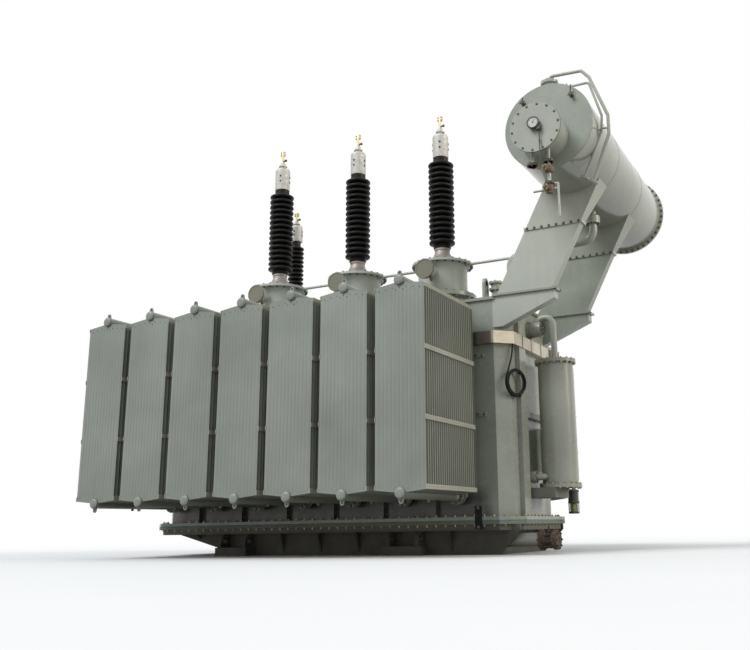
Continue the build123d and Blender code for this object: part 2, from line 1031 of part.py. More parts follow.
# Drain valve on the base
drain_y = 120 - half_width
drain_z = 138.0
drain_pipe = 68.0
drain_flange = 96.0
drain_body = 80.0
drain_reach = 424.0
drain_length = 100.0
drain_plate = 38.0
drain_cover = 50.0


def drain_part(radius, start, length):
    """A round part of the drain, from start along +X beyond the end of the base."""
    x = base_end + start
    return rod(radius, (x, drain_y, drain_z), (x + length, drain_y, drain_z))


save(
    joined(
        drain_part(drain_pipe, 0, drain_reach),
        drain_part(drain_flange, drain_reach - drain_plate, drain_plate),
        drain_part(drain_body, drain_reach, drain_length),
        drain_part(drain_flange, drain_reach + drain_length, drain_cover),
    ),
    "drain_valve",
)

# Control cable, left coiled under the cable duct at the front corner of the end wall
cable_radius = 9.0
coil_radius = 132.0
coil_thickness = 24.0
coil_drop = 405.0
coil_centre = Vector(half_length + 45, 150 - half_width, duct_bottom - coil_drop)
coil_facing = Vector(0.924, -0.383, 0)
coil_across = Vector(0.383, 0.924, 0)


def on_coil(across, up):
    """A point in the coil's own plane, measured from its centre."""
    return coil_centre + coil_across * across + Vector(0, 0, up)


with BuildPart(Plane(origin=coil_centre, z_dir=coil_facing)) as cable_coil:
    Torus(coil_radius, coil_thickness)
cable_route = [
    on_coil(-30, coil_drop),
    on_coil(-42, coil_drop - 113),
    on_coil(-83, 175),
    on_coil(-108.6, 75),
]
cable_bends = []
for before, here, after in zip(cable_route, cable_route[1:], cable_route[2:]):
    half_turn = (here - before).get_angle(after - here) / 2
    shorter = min((here - before).length, (after - here).length)
    cable_bends.append(0.45 * shorter / tan(radians(half_turn)))
print("radii of the cable's bends", [round(bend) for bend in cable_bends])
cable = pipe(cable_radius, [tuple(point) for point in cable_route], cable_bends)
save(cable - cable_coil.part - cable_duct.part, "control_cable")
save(cable_coil.part, "control_cable_coil")
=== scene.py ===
# Looks of the oil-filled power transformer: paint, bolts, fluted radiator panels, rubber sheds,
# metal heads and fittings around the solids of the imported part. Metres, same frame as the solids.

import itertools
import math
from functools import cached_property

import bpy
from mathutils import Matrix, Vector


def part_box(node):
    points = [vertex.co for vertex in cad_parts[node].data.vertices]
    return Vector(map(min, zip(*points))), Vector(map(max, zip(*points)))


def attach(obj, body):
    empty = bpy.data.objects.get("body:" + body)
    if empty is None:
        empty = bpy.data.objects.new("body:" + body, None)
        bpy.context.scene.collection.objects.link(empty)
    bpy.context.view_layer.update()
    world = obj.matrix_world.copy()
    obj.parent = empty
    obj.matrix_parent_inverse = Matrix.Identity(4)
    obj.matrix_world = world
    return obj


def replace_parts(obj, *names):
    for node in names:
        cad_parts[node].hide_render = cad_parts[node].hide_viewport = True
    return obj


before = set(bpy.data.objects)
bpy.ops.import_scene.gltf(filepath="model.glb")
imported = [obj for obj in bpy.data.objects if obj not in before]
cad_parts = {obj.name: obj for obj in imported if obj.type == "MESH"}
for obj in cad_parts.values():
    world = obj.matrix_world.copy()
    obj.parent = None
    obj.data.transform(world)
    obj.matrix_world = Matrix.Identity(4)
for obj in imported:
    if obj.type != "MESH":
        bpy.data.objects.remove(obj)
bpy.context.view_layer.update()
scene = bpy.context.scene


# Directions, and places that the details take from the solids
UP, DOWN = Vector((0, 0, 1)), Vector((0, 0, -1))
NEAR, FAR = Vector((0, -1, 0)), Vector((0, 1, 0))
RIGHT, LEFT = Vector((1, 0, 0)), Vector((-1, 0, 0))


def middle(node):
    """The middle of a solid's box, to the millimetre."""
    low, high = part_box(node)
    return Vector([round(value, 3) for value in (low + high) / 2])


PHASES = [middle(f"bushing_cap_{number}").x for number in (1, 2, 3)]
NEUTRAL = middle("neutral_turret").xy
COVER_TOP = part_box("neutral_turret")[0].z


# Camera: the photograph's viewpoint
CAMERA_AT = (5.490, -9.214, 0.264)
YAW, PITCH, ROLL = 0.442803, 0.249920, -0.0167135
LENS, SENSOR = 43.10, 36
SHIFT_X, SHIFT_Y = -0.0833, -0.0348


def set_camera():
    """The view of the photograph."""
    data = bpy.data.cameras.new("camera")
    camera = bpy.data.objects.new("camera", data)
    scene.collection.objects.link(camera)
    ahead = Vector((-math.sin(YAW) * math.cos(PITCH), math.cos(YAW) * math.cos(PITCH), math.sin(PITCH)))
    level = Vector((math.cos(YAW), math.sin(YAW), 0))
    over = level.cross(ahead)
    right = level * math.cos(ROLL) + over * math.sin(ROLL)
    up = over * math.cos(ROLL) - level * math.sin(ROLL)
    turn = Matrix((right, up, -ahead)).transposed().to_4x4()
    camera.matrix_world = Matrix.Translation(CAMERA_AT) @ turn
    data.sensor_width = SENSOR
    data.lens = LENS
    data.shift_x = SHIFT_X
    data.shift_y = SHIFT_Y
    data.clip_end = 200
    scene.camera = camera


set_camera()


# Materials
class Nodes:
    """A short way to lay out the nodes of a material or of the world."""

    def __init__(self, owner):
        owner.use_nodes = True
        self.owner = owner
        self.tree = owner.node_tree

    def put(self, value, socket):
        """A link into a socket, or a plain number, vector or colour on it."""
        if isinstance(value, bpy.types.NodeSocket):
            self.tree.links.new(value, socket)
        elif socket.type == "RGBA":
            socket.default_value = (*value, 1)
        else:
            socket.default_value = value

    def fill(self, node, named):
        """Values or links on a node's inputs, by name."""
        for name, value in named.items():
            self.put(value, node.inputs[name.replace("_", " ")])

    def new(self, kind, *values, **named):
        """A node, with its first inputs filled in order and others by name."""
        node = self.tree.nodes.new("ShaderNode" + kind)
        for value, socket in zip(values, node.inputs):
            self.put(value, socket)
        self.fill(node, named)
        return node

    @cached_property
    def surface(self):
        """The position and the normals of a point."""
        return self.new("NewGeometry").outputs

    def noise(self, scale, detail, stretch=(1, 1, 1)):
        """Noise in the world's space, from 0 to 1."""
        mapping = self.new("Mapping", self.surface["Position"], Scale=stretch)
        node = self.new("TexNoise", mapping.outputs[0], Scale=scale, Detail=detail, Roughness=0.55)
        return node.outputs["Fac"]

    def span(self, value, low, high, to_low=0.0, to_high=1.0):
        """A value stretched from one range to another, and kept in it."""
        return self.new("MapRange", value, low, high, to_low, to_high).outputs["Result"]

    def math(self, how, first, second=0):
        node = self.new("Math", first, second)
        node.operation = how
        return node.outputs[0]

    def times(self, first, second):
        return self.math("MULTIPLY", first, second)

    def mix(self, amount, first, second):
        """Two colours mixed; each is a socket or a plain colour."""
        node = self.new("Mix", amount)
        node.data_type = "RGBA"
        self.put(first, node.inputs[6])
        self.put(second, node.inputs[7])
        return node.outputs[2]

    def share(self, vector, axis):
        """A vector's part along x, y or z."""
        return self.new("SeparateXYZ", vector).outputs["XYZ".index(axis)]

    def along(self, axis):
        """A point's place along x, y or z, in metres."""
        return self.share(self.surface["Position"], axis)

    def facing(self, axis):
        """How far a surface faces along x, y or z, from -1 to 1."""
        return self.share(self.surface["Normal"], axis)

    def corners(self, distance):
        """1 in the open, less in corners and gaps."""
        node = self.new("AmbientOcclusion", Distance=distance)
        node.samples = 6
        return node.outputs["AO"]

    def edges(self, width):
        """1 on outer edges, 0 elsewhere."""
        bevel = self.new("Bevel", Radius=width)
        bevel.samples = 4
        dot = self.new("VectorMath", bevel.outputs["Normal"], self.surface["True Normal"])
        dot.operation = "DOT_PRODUCT"
        return self.span(dot.outputs["Value"], 0.98, 0.75)

    def bump(self, value, distance, strength, under=None):
        """A normal bent by heights up to a distance, over another one."""
        node = self.new("Bump", Strength=strength, Distance=distance, Height=value)
        if under is not None:
            self.put(under, node.inputs["Normal"])
        return node.outputs["Normal"]

    def seen(self):
        """1 for what the camera sees, also in glass and reflections, and 0 for lighting."""
        path = self.new("LightPath").outputs
        direct = self.math("MAXIMUM", path["Is Camera Ray"], path["Is Transmission Ray"])
        return self.math("MAXIMUM", direct, path["Is Glossy Ray"])

    def finish(self, colour, rough, **named):
        """The material, with colour, roughness and more on its shader."""
        named.update(Base_Color=colour, Roughness=rough)
        self.fill(self.tree.nodes["Principled BSDF"], named)
        return self.owner


RAIN_DIRT = (0.17, 0.16, 0.13)
DUST = (0.50, 0.48, 0.42)
CORNER_SHADE = (0.055, 0.052, 0.042)
RUST = (0.20, 0.085, 0.03)
LOW_SHADE = (0.05, 0.048, 0.042)
UNDER_RADIATOR_SHADE = (0.040, 0.042, 0.036)
LIT_PANEL_EDGES = (0.63, 0.65, 0.55)


def shade(colour, factor, plus=0.0):
    """A colour made darker or lighter."""
    return tuple(min(1, c * factor + plus) for c in colour)


def paint(
    name, colour, rough, grime_and_corner_shade, low_shade=0.0, low_shade_heights=(0.62, 0.02), rust=0.15, chips=0.25, lit_edges=0.0, under=0.0,
):
    """Workshop enamel: slow colour drift, rain streaks, dust on ledges, painted shade in corners and on
    undersides.

    soot sets painted shade that grows, in patches, towards the bottom between the two heights in sooty;
    under sets painted shade on the wall below the radiators, and layers paints light on the side edges of
    stacked panels.
    """
    n = Nodes(bpy.data.materials.new(name))
    base = n.mix(n.span(n.noise(1.1, 5), 0.3, 0.7), shade(colour, 0.80), shade(colour, 1.10, 0.01))
    base = n.mix(n.span(n.noise(45, 6), 0.4, 0.62, 0, 0.08), base, shade(colour, 0.72))
    streaks = n.span(n.noise(9, 6, (3.2, 3.2, 0.16)), 0.52, 0.72, 0, 0.30 * grime_and_corner_shade)
    base = n.mix(streaks, base, RAIN_DIRT)
    # Painted shade: surfaces that face down are darker.
    base = n.mix(n.span(n.facing("Z"), -0.1, -0.95, 0, 0.5), base, shade(colour, 0.5))
    # Painted light: surfaces that face sideways are lighter, more on some panels than others.
    if lit_edges:
        sideways = n.span(n.math("ABSOLUTE", n.facing("X")), 0.75, 0.95)
        tone = n.span(n.noise(46, 1, (0, 1, 0)), 0.30, 0.70, 0.35, lit_edges)
        base = n.mix(n.times(sideways, tone), base, LIT_PANEL_EDGES)
    dust = n.times(n.span(n.facing("Z"), 0.35, 0.95), n.span(n.noise(7, 5), 0.3, 0.7, 0.1, 0.35))
    base = n.mix(dust, base, DUST)
    # Painted shade: darker in corners and gaps, by how open the surface is.
    base = n.mix(n.span(n.corners(0.10), 0.85, 0.25, 0, grime_and_corner_shade), base, CORNER_SHADE)
    spots = n.times(n.span(n.noise(28, 7), 0.62, 0.70), n.span(n.noise(2.2, 3), 0.5, 0.68, 0, rust))
    base = n.mix(spots, base, RUST)
    # Painted shade: darker, in patches, towards the bottom.
    if low_shade:
        low = n.times(n.span(n.along("Z"), *low_shade_heights), n.span(n.noise(3, 5), 0.2, 0.7, 0.6, 1))
        base = n.mix(n.times(low, low_shade), base, LOW_SHADE)
    # Painted shade on the tank's wall below the radiators, fading out towards the ends.
    if under:
        low = n.times(n.span(n.along("Z"), 0.70, 0.56), n.span(n.along("Z"), 0.367, 0.380))
        between = n.span(n.math("ABSOLUTE", n.along("X")), 2.03, 1.88, 0, under)
        base = n.mix(n.times(low, between), base, UNDER_RADIATOR_SHADE)
    worn = n.times(n.edges(0.004), n.span(n.noise(70, 4), 0.42, 0.60, 0, chips))
    base = n.mix(worn, base, shade(colour, 1.25, 0.03))
    shine = n.span(n.noise(14, 5), 0.3, 0.75, rough - 0.03, rough + 0.08)
    peel = n.bump(n.noise(330, 2), 0.0006, 0.25)
    normal = n.bump(n.noise(1.8, 1), 0.020, 0.20, peel)
    return n.finish(base, shine, Normal=normal)


def rubber(name, colour, rough, dust):
    """Silicone or cable rubber with dust on its upper sides."""
    n = Nodes(bpy.data.materials.new(name))
    base = n.mix(n.span(n.noise(9, 5), 0.3, 0.7), colour, shade(colour, 1.7, 0.006))
    lying = n.times(n.span(n.facing("Z"), 0.1, 0.95), n.span(n.noise(26, 6), 0.3, 0.7, 0.2, dust))
    base = n.mix(lying, base, (0.20, 0.17, 0.145))
    normal = n.bump(n.noise(180, 3), 0.0008, 0.3)
    shine = n.span(n.noise(20, 4), 0.3, 0.7, rough - 0.08, rough + 0.15)
    return n.finish(base, shine, Normal=normal, Specular_IOR_Level=0.18)


def metal(name, colour, rough, tarnish, amount):
    """Bare or plated metal with tarnish in blotches and in corners."""
    n = Nodes(bpy.data.materials.new(name))
    base = n.mix(n.span(n.noise(38, 6), 0.45, 0.68, 0, amount), colour, tarnish)
    base = n.mix(n.span(n.corners(0.03), 0.85, 0.3, 0, 0.7), base, shade(tarnish, 0.35))
    base = n.mix(n.span(n.noise(120, 3), 0.35, 0.7, 0, 0.22), base, shade(colour, 0.6))
    normal = n.bump(n.noise(160, 3), 0.0006, 0.35)
    shine = n.span(n.noise(24, 5), 0.3, 0.7, rough - 0.08, rough + 0.2)
    return n.finish(base, shine, Normal=normal, Metallic=0.85)


def duct(name):
    """Bright sheet steel, with painted shade in dark brown where it runs along the long side."""
    n = Nodes(bpy.data.materials.new(name))
    bright = n.mix(n.span(n.noise(5, 4), 0.35, 0.7), (0.66, 0.60, 0.49), (0.50, 0.45, 0.36))
    # Painted shade: dark brown on the part that runs along the near wall, short of the end.
    base = n.mix(n.span(n.along("X"), 2.085, 2.070), bright, (0.20, 0.175, 0.145))
    base = n.mix(n.span(n.noise(60, 5), 0.5, 0.7, 0, 0.35), base, (0.30, 0.26, 0.20))
    shine = n.span(n.noise(16, 4), 0.3, 0.7, 0.30, 0.50)
    waves = n.bump(n.noise(4, 2), 0.02, 0.2)
    return n.finish(base, shine, Normal=waves, Metallic=0.7)


def rusty(name):
    """Old cast iron with rust and remains of dark paint."""
    n = Nodes(bpy.data.materials.new(name))
    base = n.mix(n.span(n.noise(22, 7), 0.38, 0.62), (0.032, 0.028, 0.025), (0.115, 0.072, 0.047))
    base = n.mix(n.span(n.noise(85, 5), 0.52, 0.66, 0, 0.7), base, (0.22, 0.165, 0.120))
    # Painted shade: corners and gaps are near black.
    base = n.mix(n.span(n.corners(0.04), 0.85, 0.3, 0, 0.8), base, (0.015, 0.012, 0.010))
    return n.finish(base, 0.78, Normal=n.bump(n.noise(120, 6), 0.002, 0.6))


def white_plate(name):
    """Enamelled white of the dial and of the relay's window."""
    n = Nodes(bpy.data.materials.new(name))
    base = n.mix(n.span(n.noise(60, 4), 0.4, 0.7, 0, 0.2), (0.80, 0.80, 0.77), (0.60, 0.58, 0.52))
    return n.finish(base, 0.25, Normal=n.bump(n.noise(200, 2), 0.0004, 0.2))


def gel_glass(name):
    """Glass full of small grains of gel."""
    n = Nodes(bpy.data.materials.new(name))
    grains = n.new("TexVoronoi", n.surface["Position"], Scale=160).outputs
    base = n.mix(grains["Color"], (0.12, 0.20, 0.02), (0.34, 0.42, 0.06))
    return n.finish(base, 0.12, Normal=n.bump(grains["Distance"], 0.004, 0.7), Coat_Weight=0.8)


mats = {
    # The tank's enamel, with painted shade low down and on the wall below the radiators.
    "tank": paint("tank_enamel", (0.400, 0.435, 0.385), 0.24, 0.27, low_shade=0.35, under=0.85),
    # The conservator's glossy enamel; its lighter, warmer tone than the tank's is painted sunlight.
    "gloss": paint("gloss_enamel", (0.540, 0.570, 0.515), 0.12, 0.06, rust=0.05, chips=0.1),
    # A lighter copy of the tank's enamel; on the near arm it is painted light.
    "pale": paint("pale_enamel", (0.600, 0.635, 0.580), 0.30, 0.25),
    "radiator": paint("radiator_enamel", (0.318, 0.350, 0.318), 0.36, 0.25, rust=0.05),
    "fin": paint("fin_enamel", (0.425, 0.450, 0.405), 0.36, 0.25, rust=0.05, lit_edges=1.0),
    # A lighter, warmer copy of the radiators' enamel for the straps and lower rivets: painted sunlight.
    "strap": paint("lit_strap_enamel", (0.46, 0.46, 0.38), 0.36, 0.3),
    # The base's enamel is a darker copy of the tank's, painted shade, with more painted shade low down.
    "base": paint("base_enamel", (0.22, 0.225, 0.195), 0.62, 0.6, 1.0, (0.300, 0.215), rust=0.6),
    "cream": paint("cream_enamel", (0.40, 0.42, 0.37), 0.22, 0.45),
    "lid": paint("lid_enamel", (0.24, 0.235, 0.17), 0.40, 0.6, rust=0.5),
    "dark": paint("dark_enamel", (0.050, 0.052, 0.050), 0.42, 0.7, rust=0.5),
    "shed": rubber("shed_rubber", (0.0020, 0.0016, 0.0018), 0.42, 0.05),
    "neck": rubber("neck_resin", (0.013, 0.009, 0.007), 0.34, 0.10),
    "gasket": rubber("gasket_rubber", (0.060, 0.200, 0.225), 0.55, 0.1),
    "black": rubber("black_rubber", (0.004, 0.004, 0.005), 0.45, 0.05),
    "cap": metal("cap_aluminium", (0.60, 0.59, 0.57), 0.58, (0.46, 0.44, 0.41), 0.4),
    "mouth": metal("mouth_metal", (0.37, 0.345, 0.315), 0.50, (0.24, 0.19, 0.15), 0.6),
    "zinc": metal("zinc_bolt", (0.45, 0.395, 0.27), 0.42, (0.24, 0.18, 0.09), 0.6),
    "dull": metal("dull_bolt", (0.17, 0.15, 0.12), 0.50, (0.08, 0.065, 0.05), 0.6),
    "brass": metal("brass_stud", (0.72, 0.64, 0.42), 0.40, (0.46, 0.38, 0.24), 0.3),
    "steel": duct("duct_steel"),
    "rust": rusty("rusty_iron"),
    "valve": paint("valve_bronze", (0.17, 0.105, 0.055), 0.45, 0.6, rust=0.7),
    "white": white_plate("dial_white"),
    "gel": gel_glass("gel_glass"),
}


def dress(material, *names):
    """Give a CAD node its finish."""
    for name in names:
        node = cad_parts[name]
        node.data.materials.clear()
        node.data.materials.append(mats[material])


# Shapes
def directions(axis, count, turn=0.0, side=None):
    """Directions spread evenly round an axis, the first one turned from the side."""
    axis = Vector(axis).normalized()
    if side is None:
        side = axis.orthogonal().normalized()
    other = axis.cross(side)
    for i in range(count):
        a = turn + math.tau * i / count
        yield side * math.cos(a) + other * math.sin(a)


class Shape:
    """Points and faces of one piece, made from plain forms."""

    def __init__(self):
        self.points = []
        self.faces = []
        self.kinds = []

    def add(self, points, faces, kind=0):
        start = len(self.points)
        self.points += [tuple(p) for p in points]
        self.faces += [tuple(start + i for i in face) for face in faces]
        self.kinds += [kind] * len(faces)

    def skin(self, rings, kind):
        """A closed skin over rings that have the same number of points."""
        sides = len(rings[0])
        faces = []
        for row in range(len(rings) - 1):
            here, above = row * sides, (row + 1) * sides
            for i in range(sides):
                j = (i + 1) % sides
                faces.append((here + i, here + j, above + j, above + i))
        last = (len(rings) - 1) * sides
        faces.append(tuple(reversed(range(sides))))
        faces.append(tuple(range(last, last + sides)))
        self.add([point for ring in rings for point in ring], faces, kind)

    def lathe(self, profile, centre, axis, sides, kind=0, turn=0.0):
        """A closed body from radius and height pairs along an axis."""
        centre, axis = Vector(centre), Vector(axis).normalized()
        side = RIGHT if abs(axis.z) > 0.99 else None
        outs = list(directions(axis, sides, turn, side))
        rings = [[centre + axis * height + out * radius for out in outs] for radius, height in profile]
        self.skin(rings, kind)

    def disc(self, centre, axis, radius, depth, sides, edge=0.003, kind=0):
        """A round plate with a softened rim, standing out along its axis."""
        profile = [(radius, 0), (radius, depth - edge), (radius - edge, depth)]
        self.lathe(profile, centre, axis, sides, kind)

    def rod(self, start, end, radius, sides, kind=0):
        """A round bar between two points."""
        way = Vector(end) - Vector(start)
        self.lathe([(radius, 0), (radius, way.length)], start, way, sides, kind)

    def bolt(self, at, axis, size, kind=0, shank=0.0):
        """A hexagon head on a washer; shank is how far the thread stands out past it."""
        self.lathe([(size * 0.95, 0), (size * 0.95, size * 0.12)], at, axis, 10, kind)
        head = [(size * 0.58, size * 0.12), (size * 0.58, size * 0.62), (size * 0.48, size * 0.72)]
        own_turn = at[0] * 40 + at[2] * 17
        self.lathe(head, at, axis, 6, kind, own_turn)
        if shank:
            self.lathe([(size * 0.32, size * 0.7), (size * 0.30, size * 0.7 + shank)], at, axis, 8, kind)

    def ring_of_bolts(self, centre, axis, radius, count, size, kind=0, shank=0.0, start=0.0):
        """Bolts spread evenly on a circle; start turns the first one."""
        for out in directions(axis, count, start):
            self.bolt(Vector(centre) + out * radius, axis, size, kind, shank)

    def block(self, low, high, soft, kind=0):
        """A block with its edges and corners cut off a little: three points at each corner."""
        low, high = Vector(low), Vector(high)
        centre = (low + high) / 2
        half = (high - low) / 2
        soft = min(soft, min(half) * 0.6)
        points = []
        for signs in itertools.product((-1, 1), repeat=3):
            for axis in range(3):
                reach = [size if other == axis else size - soft for other, size in enumerate(half)]
                points.append(centre + Vector([sign * size for sign, size in zip(signs, reach)]))
        apart = (12, 6, 3)
        sides, edges, corners = [], [], []
        for axis in range(3):
            one, two = [other for other in range(3) if other != axis]
            straight = axis != 1
            for end in (0, 1):
                k = end * apart[axis] + axis
                loop = (k, k + apart[one], k + apart[one] + apart[two], k + apart[two])
                sides.append(loop if end == straight else loop[::-1])
            for a, b in itertools.product((0, 1), repeat=2):
                i = a * apart[one] + b * apart[two]
                j = i + apart[axis]
                loop = (i + one, j + one, j + two, i + two)
                edges.append(loop if (a == b) == straight else loop[::-1])
        for number in range(8):
            loop = (3 * number, 3 * number + 1, 3 * number + 2)
            corners.append(loop if number.bit_count() % 2 else loop[::-1])
        self.add(points, sides + edges + corners, kind)

    def plate(self, outline, thickness, to_world):
        """A flat plate from a 2-D outline; to_world places a point (u, v, depth)."""
        count = len(outline)
        points = [to_world(u, v, depth) for depth in (0, thickness) for u, v in outline]
        faces = [tuple(range(count)), tuple(reversed(range(count, 2 * count)))]
        faces += [(i, count + i, count + (i + 1) % count, (i + 1) % count) for i in range(count)]
        self.add(points, faces)

    def sweep(self, points, radius, sides, kind, bend):
        """A round tube along points whose corners are rounded."""
        points = [Vector(point) for point in points]
        route = [points[0]]
        for before, here, after in zip(points, points[1:], points[2:]):
            cut = min(bend, (here - before).length * 0.45, (after - here).length * 0.45)
            one = here + (before - here).normalized() * cut
            two = here + (after - here).normalized() * cut
            for k in range(5):
                t = k / 4
                route.append(one * (1 - t) ** 2 + here * 2 * t * (1 - t) + two * t * t)
        route.append(points[-1])
        longer = [route[0] * 2 - route[1]] + route + [route[-1] * 2 - route[-2]]
        side = None
        rings = []
        for before, here, after in zip(longer, longer[1:], longer[2:]):
            way = ((here - before).normalized() + (after - here).normalized()).normalized()
            if side is None:
                side = way.orthogonal()
            side = (side - way * side.dot(way)).normalized()
            rings.append([here + out * radius for out in directions(way, sides, side=side)])
        self.skin(rings, kind)

    def mesh(self, name, *materials):
        """The shape as a mesh, smooth but for its sharp edges."""
        data = bpy.data.meshes.new(name)
        data.from_pydata(self.points, [], self.faces)
        for material in materials:
            data.materials.append(mats[material])
        for polygon, kind in zip(data.polygons, self.kinds):
            polygon.material_index = kind
        data.shade_smooth()
        data.set_sharp_from_angle(angle=math.radians(32))
        data.update()
        return data

    def piece(self, name, slot, *materials):
        """The shape as a piece of the part."""
        return place(name, self.mesh(name, *materials))


def place(name, data, matrix=None):
    """Put a mesh in the scene as a piece of the part."""
    piece = bpy.data.objects.new(name, data)
    scene.collection.objects.link(piece)
    if matrix is not None:
        piece.matrix_world = matrix
    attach(piece, "root")
    return piece


# Radiators: a stack of fluted panels on two headers, front face at y 0 and the tank at +y
PANELS, FLUTES = 25, 12
PANEL_HALF, PANEL_BOTTOM, PANEL_TOP = 0.260, 0.600, 2.486
CROWN, SKIRT, CROWN_FLAT, SEAM = 0.030, 0.022, 0.052, 0.012
PANEL_LEVELS = (0.0, 0.012, 0.030, 0.5, 0.970, 0.988, 1.0)
STACK = 1.122
FIRST_PANEL = 0.0065
PANEL_STEP = (STACK - 0.012) / (PANELS - 1)
HEADERS = ((0.572, DOWN), (2.540, UP))
STRAPS = ((0.600, 0.645), (1.215, 1.260), (1.860, 1.905), (2.448, 2.486))
STRAP_INNER, STRAP_OUTER = 0.2575, 0.2662


def panel_edge(x):
    """Lower and upper edge of a panel at x across it; both bow out in the middle."""
    away = max(0.0, (abs(x) - CROWN_FLAT) / (PANEL_HALF - CROWN_FLAT))
    return PANEL_BOTTOM - SKIRT * (1 - away), PANEL_TOP + CROWN * (1 - away)


def add_panel(shape, y, columns, edge, swell, kind):
    """One pressed panel: two sheets with upright flutes, seamed all round."""
    first, fluted = SEAM - PANEL_HALF, 2 * (PANEL_HALF - SEAM)
    count = FLUTES * columns
    across = [-PANEL_HALF] + [first + fluted * i / count for i in range(count + 1)] + [PANEL_HALF]
    points = []
    for face in (-1, 1):
        for x in across:
            low, high = panel_edge(x)
            wave = abs(math.sin(math.pi * FLUTES * (x - first) / fluted))
            swollen = (swell * wave ** 0.6 + 0.0008) * (abs(x) < PANEL_HALF)
            for t in PANEL_LEVELS:
                rise = min(1.0, max(0.0, min(t, 1 - t) - 0.012) / 0.018)
                points.append((x, y + face * (edge + swollen * rise), low + (high - low) * t))
    tall, wide = len(PANEL_LEVELS), len(across)
    back = wide * tall
    last = back - tall
    faces = []
    for start in (0, back):
        for i in range(wide - 1):
            for j in range(tall - 1):
                k = start + i * tall + j
                loop = (k, k + tall, k + tall + 1, k + 1)
                faces.append(loop[::-1] if start else loop)
    for i in range(wide - 1):
        a, b = i * tall, (i + 1) * tall
        faces.append((b, a, back + a, back + b))
        faces.append((a + tall - 1, b + tall - 1, back + b + tall - 1, back + a + tall - 1))
    for j in range(tall - 1):
        faces.append((j, j + 1, back + j + 1, back + j))
        faces.append((last + j + 1, last + j, back + last + j, back + last + j + 1))
    shape.add(points, faces, kind)


def add_header(shape, level, away):
    """A header pipe with its end cap, valve, lifting eye and plug."""
    shape.rod((0, -0.004, level), (0, STACK + 0.196, level), 0.050, 28)
    cap = [(0.050, -0.002), (0.050, 0.012), (0.044, 0.018), (0.030, 0.0215), (0.010, 0.022)]
    shape.lathe(cap, (0, 0, level), NEAR, 28)
    for start, face, way in ((1.182, 1.182, NEAR), (1.246, 1.264, FAR)):
        shape.disc((0, start, level), FAR, 0.084, 0.018, 28)
        shape.ring_of_bolts((0, face, level), way, 0.068, 8, 0.020, 1)
    shape.rod((0, 1.19, level), (0, 1.26, level), 0.066, 24)
    shape.rod((0, 1.224, level), (0.105, 1.224, level), 0.010, 10)
    shape.block((0.100, 1.214, level - 0.012), (0.112, 1.234, level + 0.075), 0.002)
    eye = level + away.z * 0.072
    turns = [math.pi * k / 8 for k in range(9)]
    outline = [(0.026, -away.z * 0.030)]
    outline += [(0.022 * math.cos(a), away.z * 0.022 * math.sin(a)) for a in turns]
    outline += [(-0.026, -away.z * 0.030)]
    shape.plate(outline, 0.010, lambda u, v, depth: (u, 0.012 + depth, eye + v))
    # A thin dark disc on the eye's face stands for its hole: painted shade.
    shape.lathe([(0.011, 0), (0.011, 0.0004)], (0, 0.0116, eye), NEAR, 14, 2)
    plug = (0, STACK * 0.5, level + away.z * 0.048)
    shape.lathe([(0.016, 0), (0.016, 0.016), (0.010, 0.022)], plug, away, 6, 1)


def add_straps(shape):
    """Flat bars over the panels' side edges, with a weld on each panel."""
    for side in (LEFT, RIGHT):
        inner, outer = sorted((side.x * STRAP_INNER, side.x * STRAP_OUTER))
        for low, high in STRAPS:
            # Straps in the lighter strap enamel: painted sunlight.
            shape.block((inner, 0.0, low), (outer, STACK, high), 0.0012, 3)
            for i in range(PANELS):
                at = (side.x * STRAP_OUTER, FIRST_PANEL + i * PANEL_STEP, (low + high) / 2)
                shape.lathe([(0.006, 0), (0.0045, 0.0018)], at, side, 6)


def add_rivets(shape):
    """A staggered row of rivets along the lower and the upper edge of the front panel."""
    # The lower row takes the straps' lit enamel, painted light; the upper row is dark.
    for edge, inward, kind in ((0, 1, 3), (1, -1, 2)):
        for number in range(-6, 7):
            x = number * 0.036
            z = panel_edge(x)[edge] + inward * (0.048 + 0.022 * (number % 2))
            shape.lathe([(0.0066, 0), (0.0042, 0.0012)], (x, 0.0012, z), NEAR, 8, kind)


def radiator_mesh():
    """The stack as one mesh that all fourteen radiators share; its two outer panels are finer."""
    shape = Shape()
    for i in range(PANELS):
        y = FIRST_PANEL + i * PANEL_STEP
        if i in (0, PANELS - 1):
            add_panel(shape, y, 6, 0.0014, 0.0046, 0)
        else:
            add_panel(shape, y, 3, 0.0034, 0.0090, 4)
    for level, away in HEADERS:
        add_header(shape, level, away)
    add_straps(shape)
    add_rivets(shape)
    return shape.mesh("radiator_stack", "radiator", "dull", "dark", "strap", "fin")


stack = radiator_mesh()
for number in range(1, 8):
    for name, face, turned in (("front", -2.0, 0), ("back", 2.0, math.pi)):
        node = f"radiator_{name}_{number}"
        matrix = Matrix.Translation((middle(node).x, face, 0)) @ Matrix.Rotation(turned, 4, "Z")
        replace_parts(place(f"panels_{name}_{number}", stack, matrix), node)


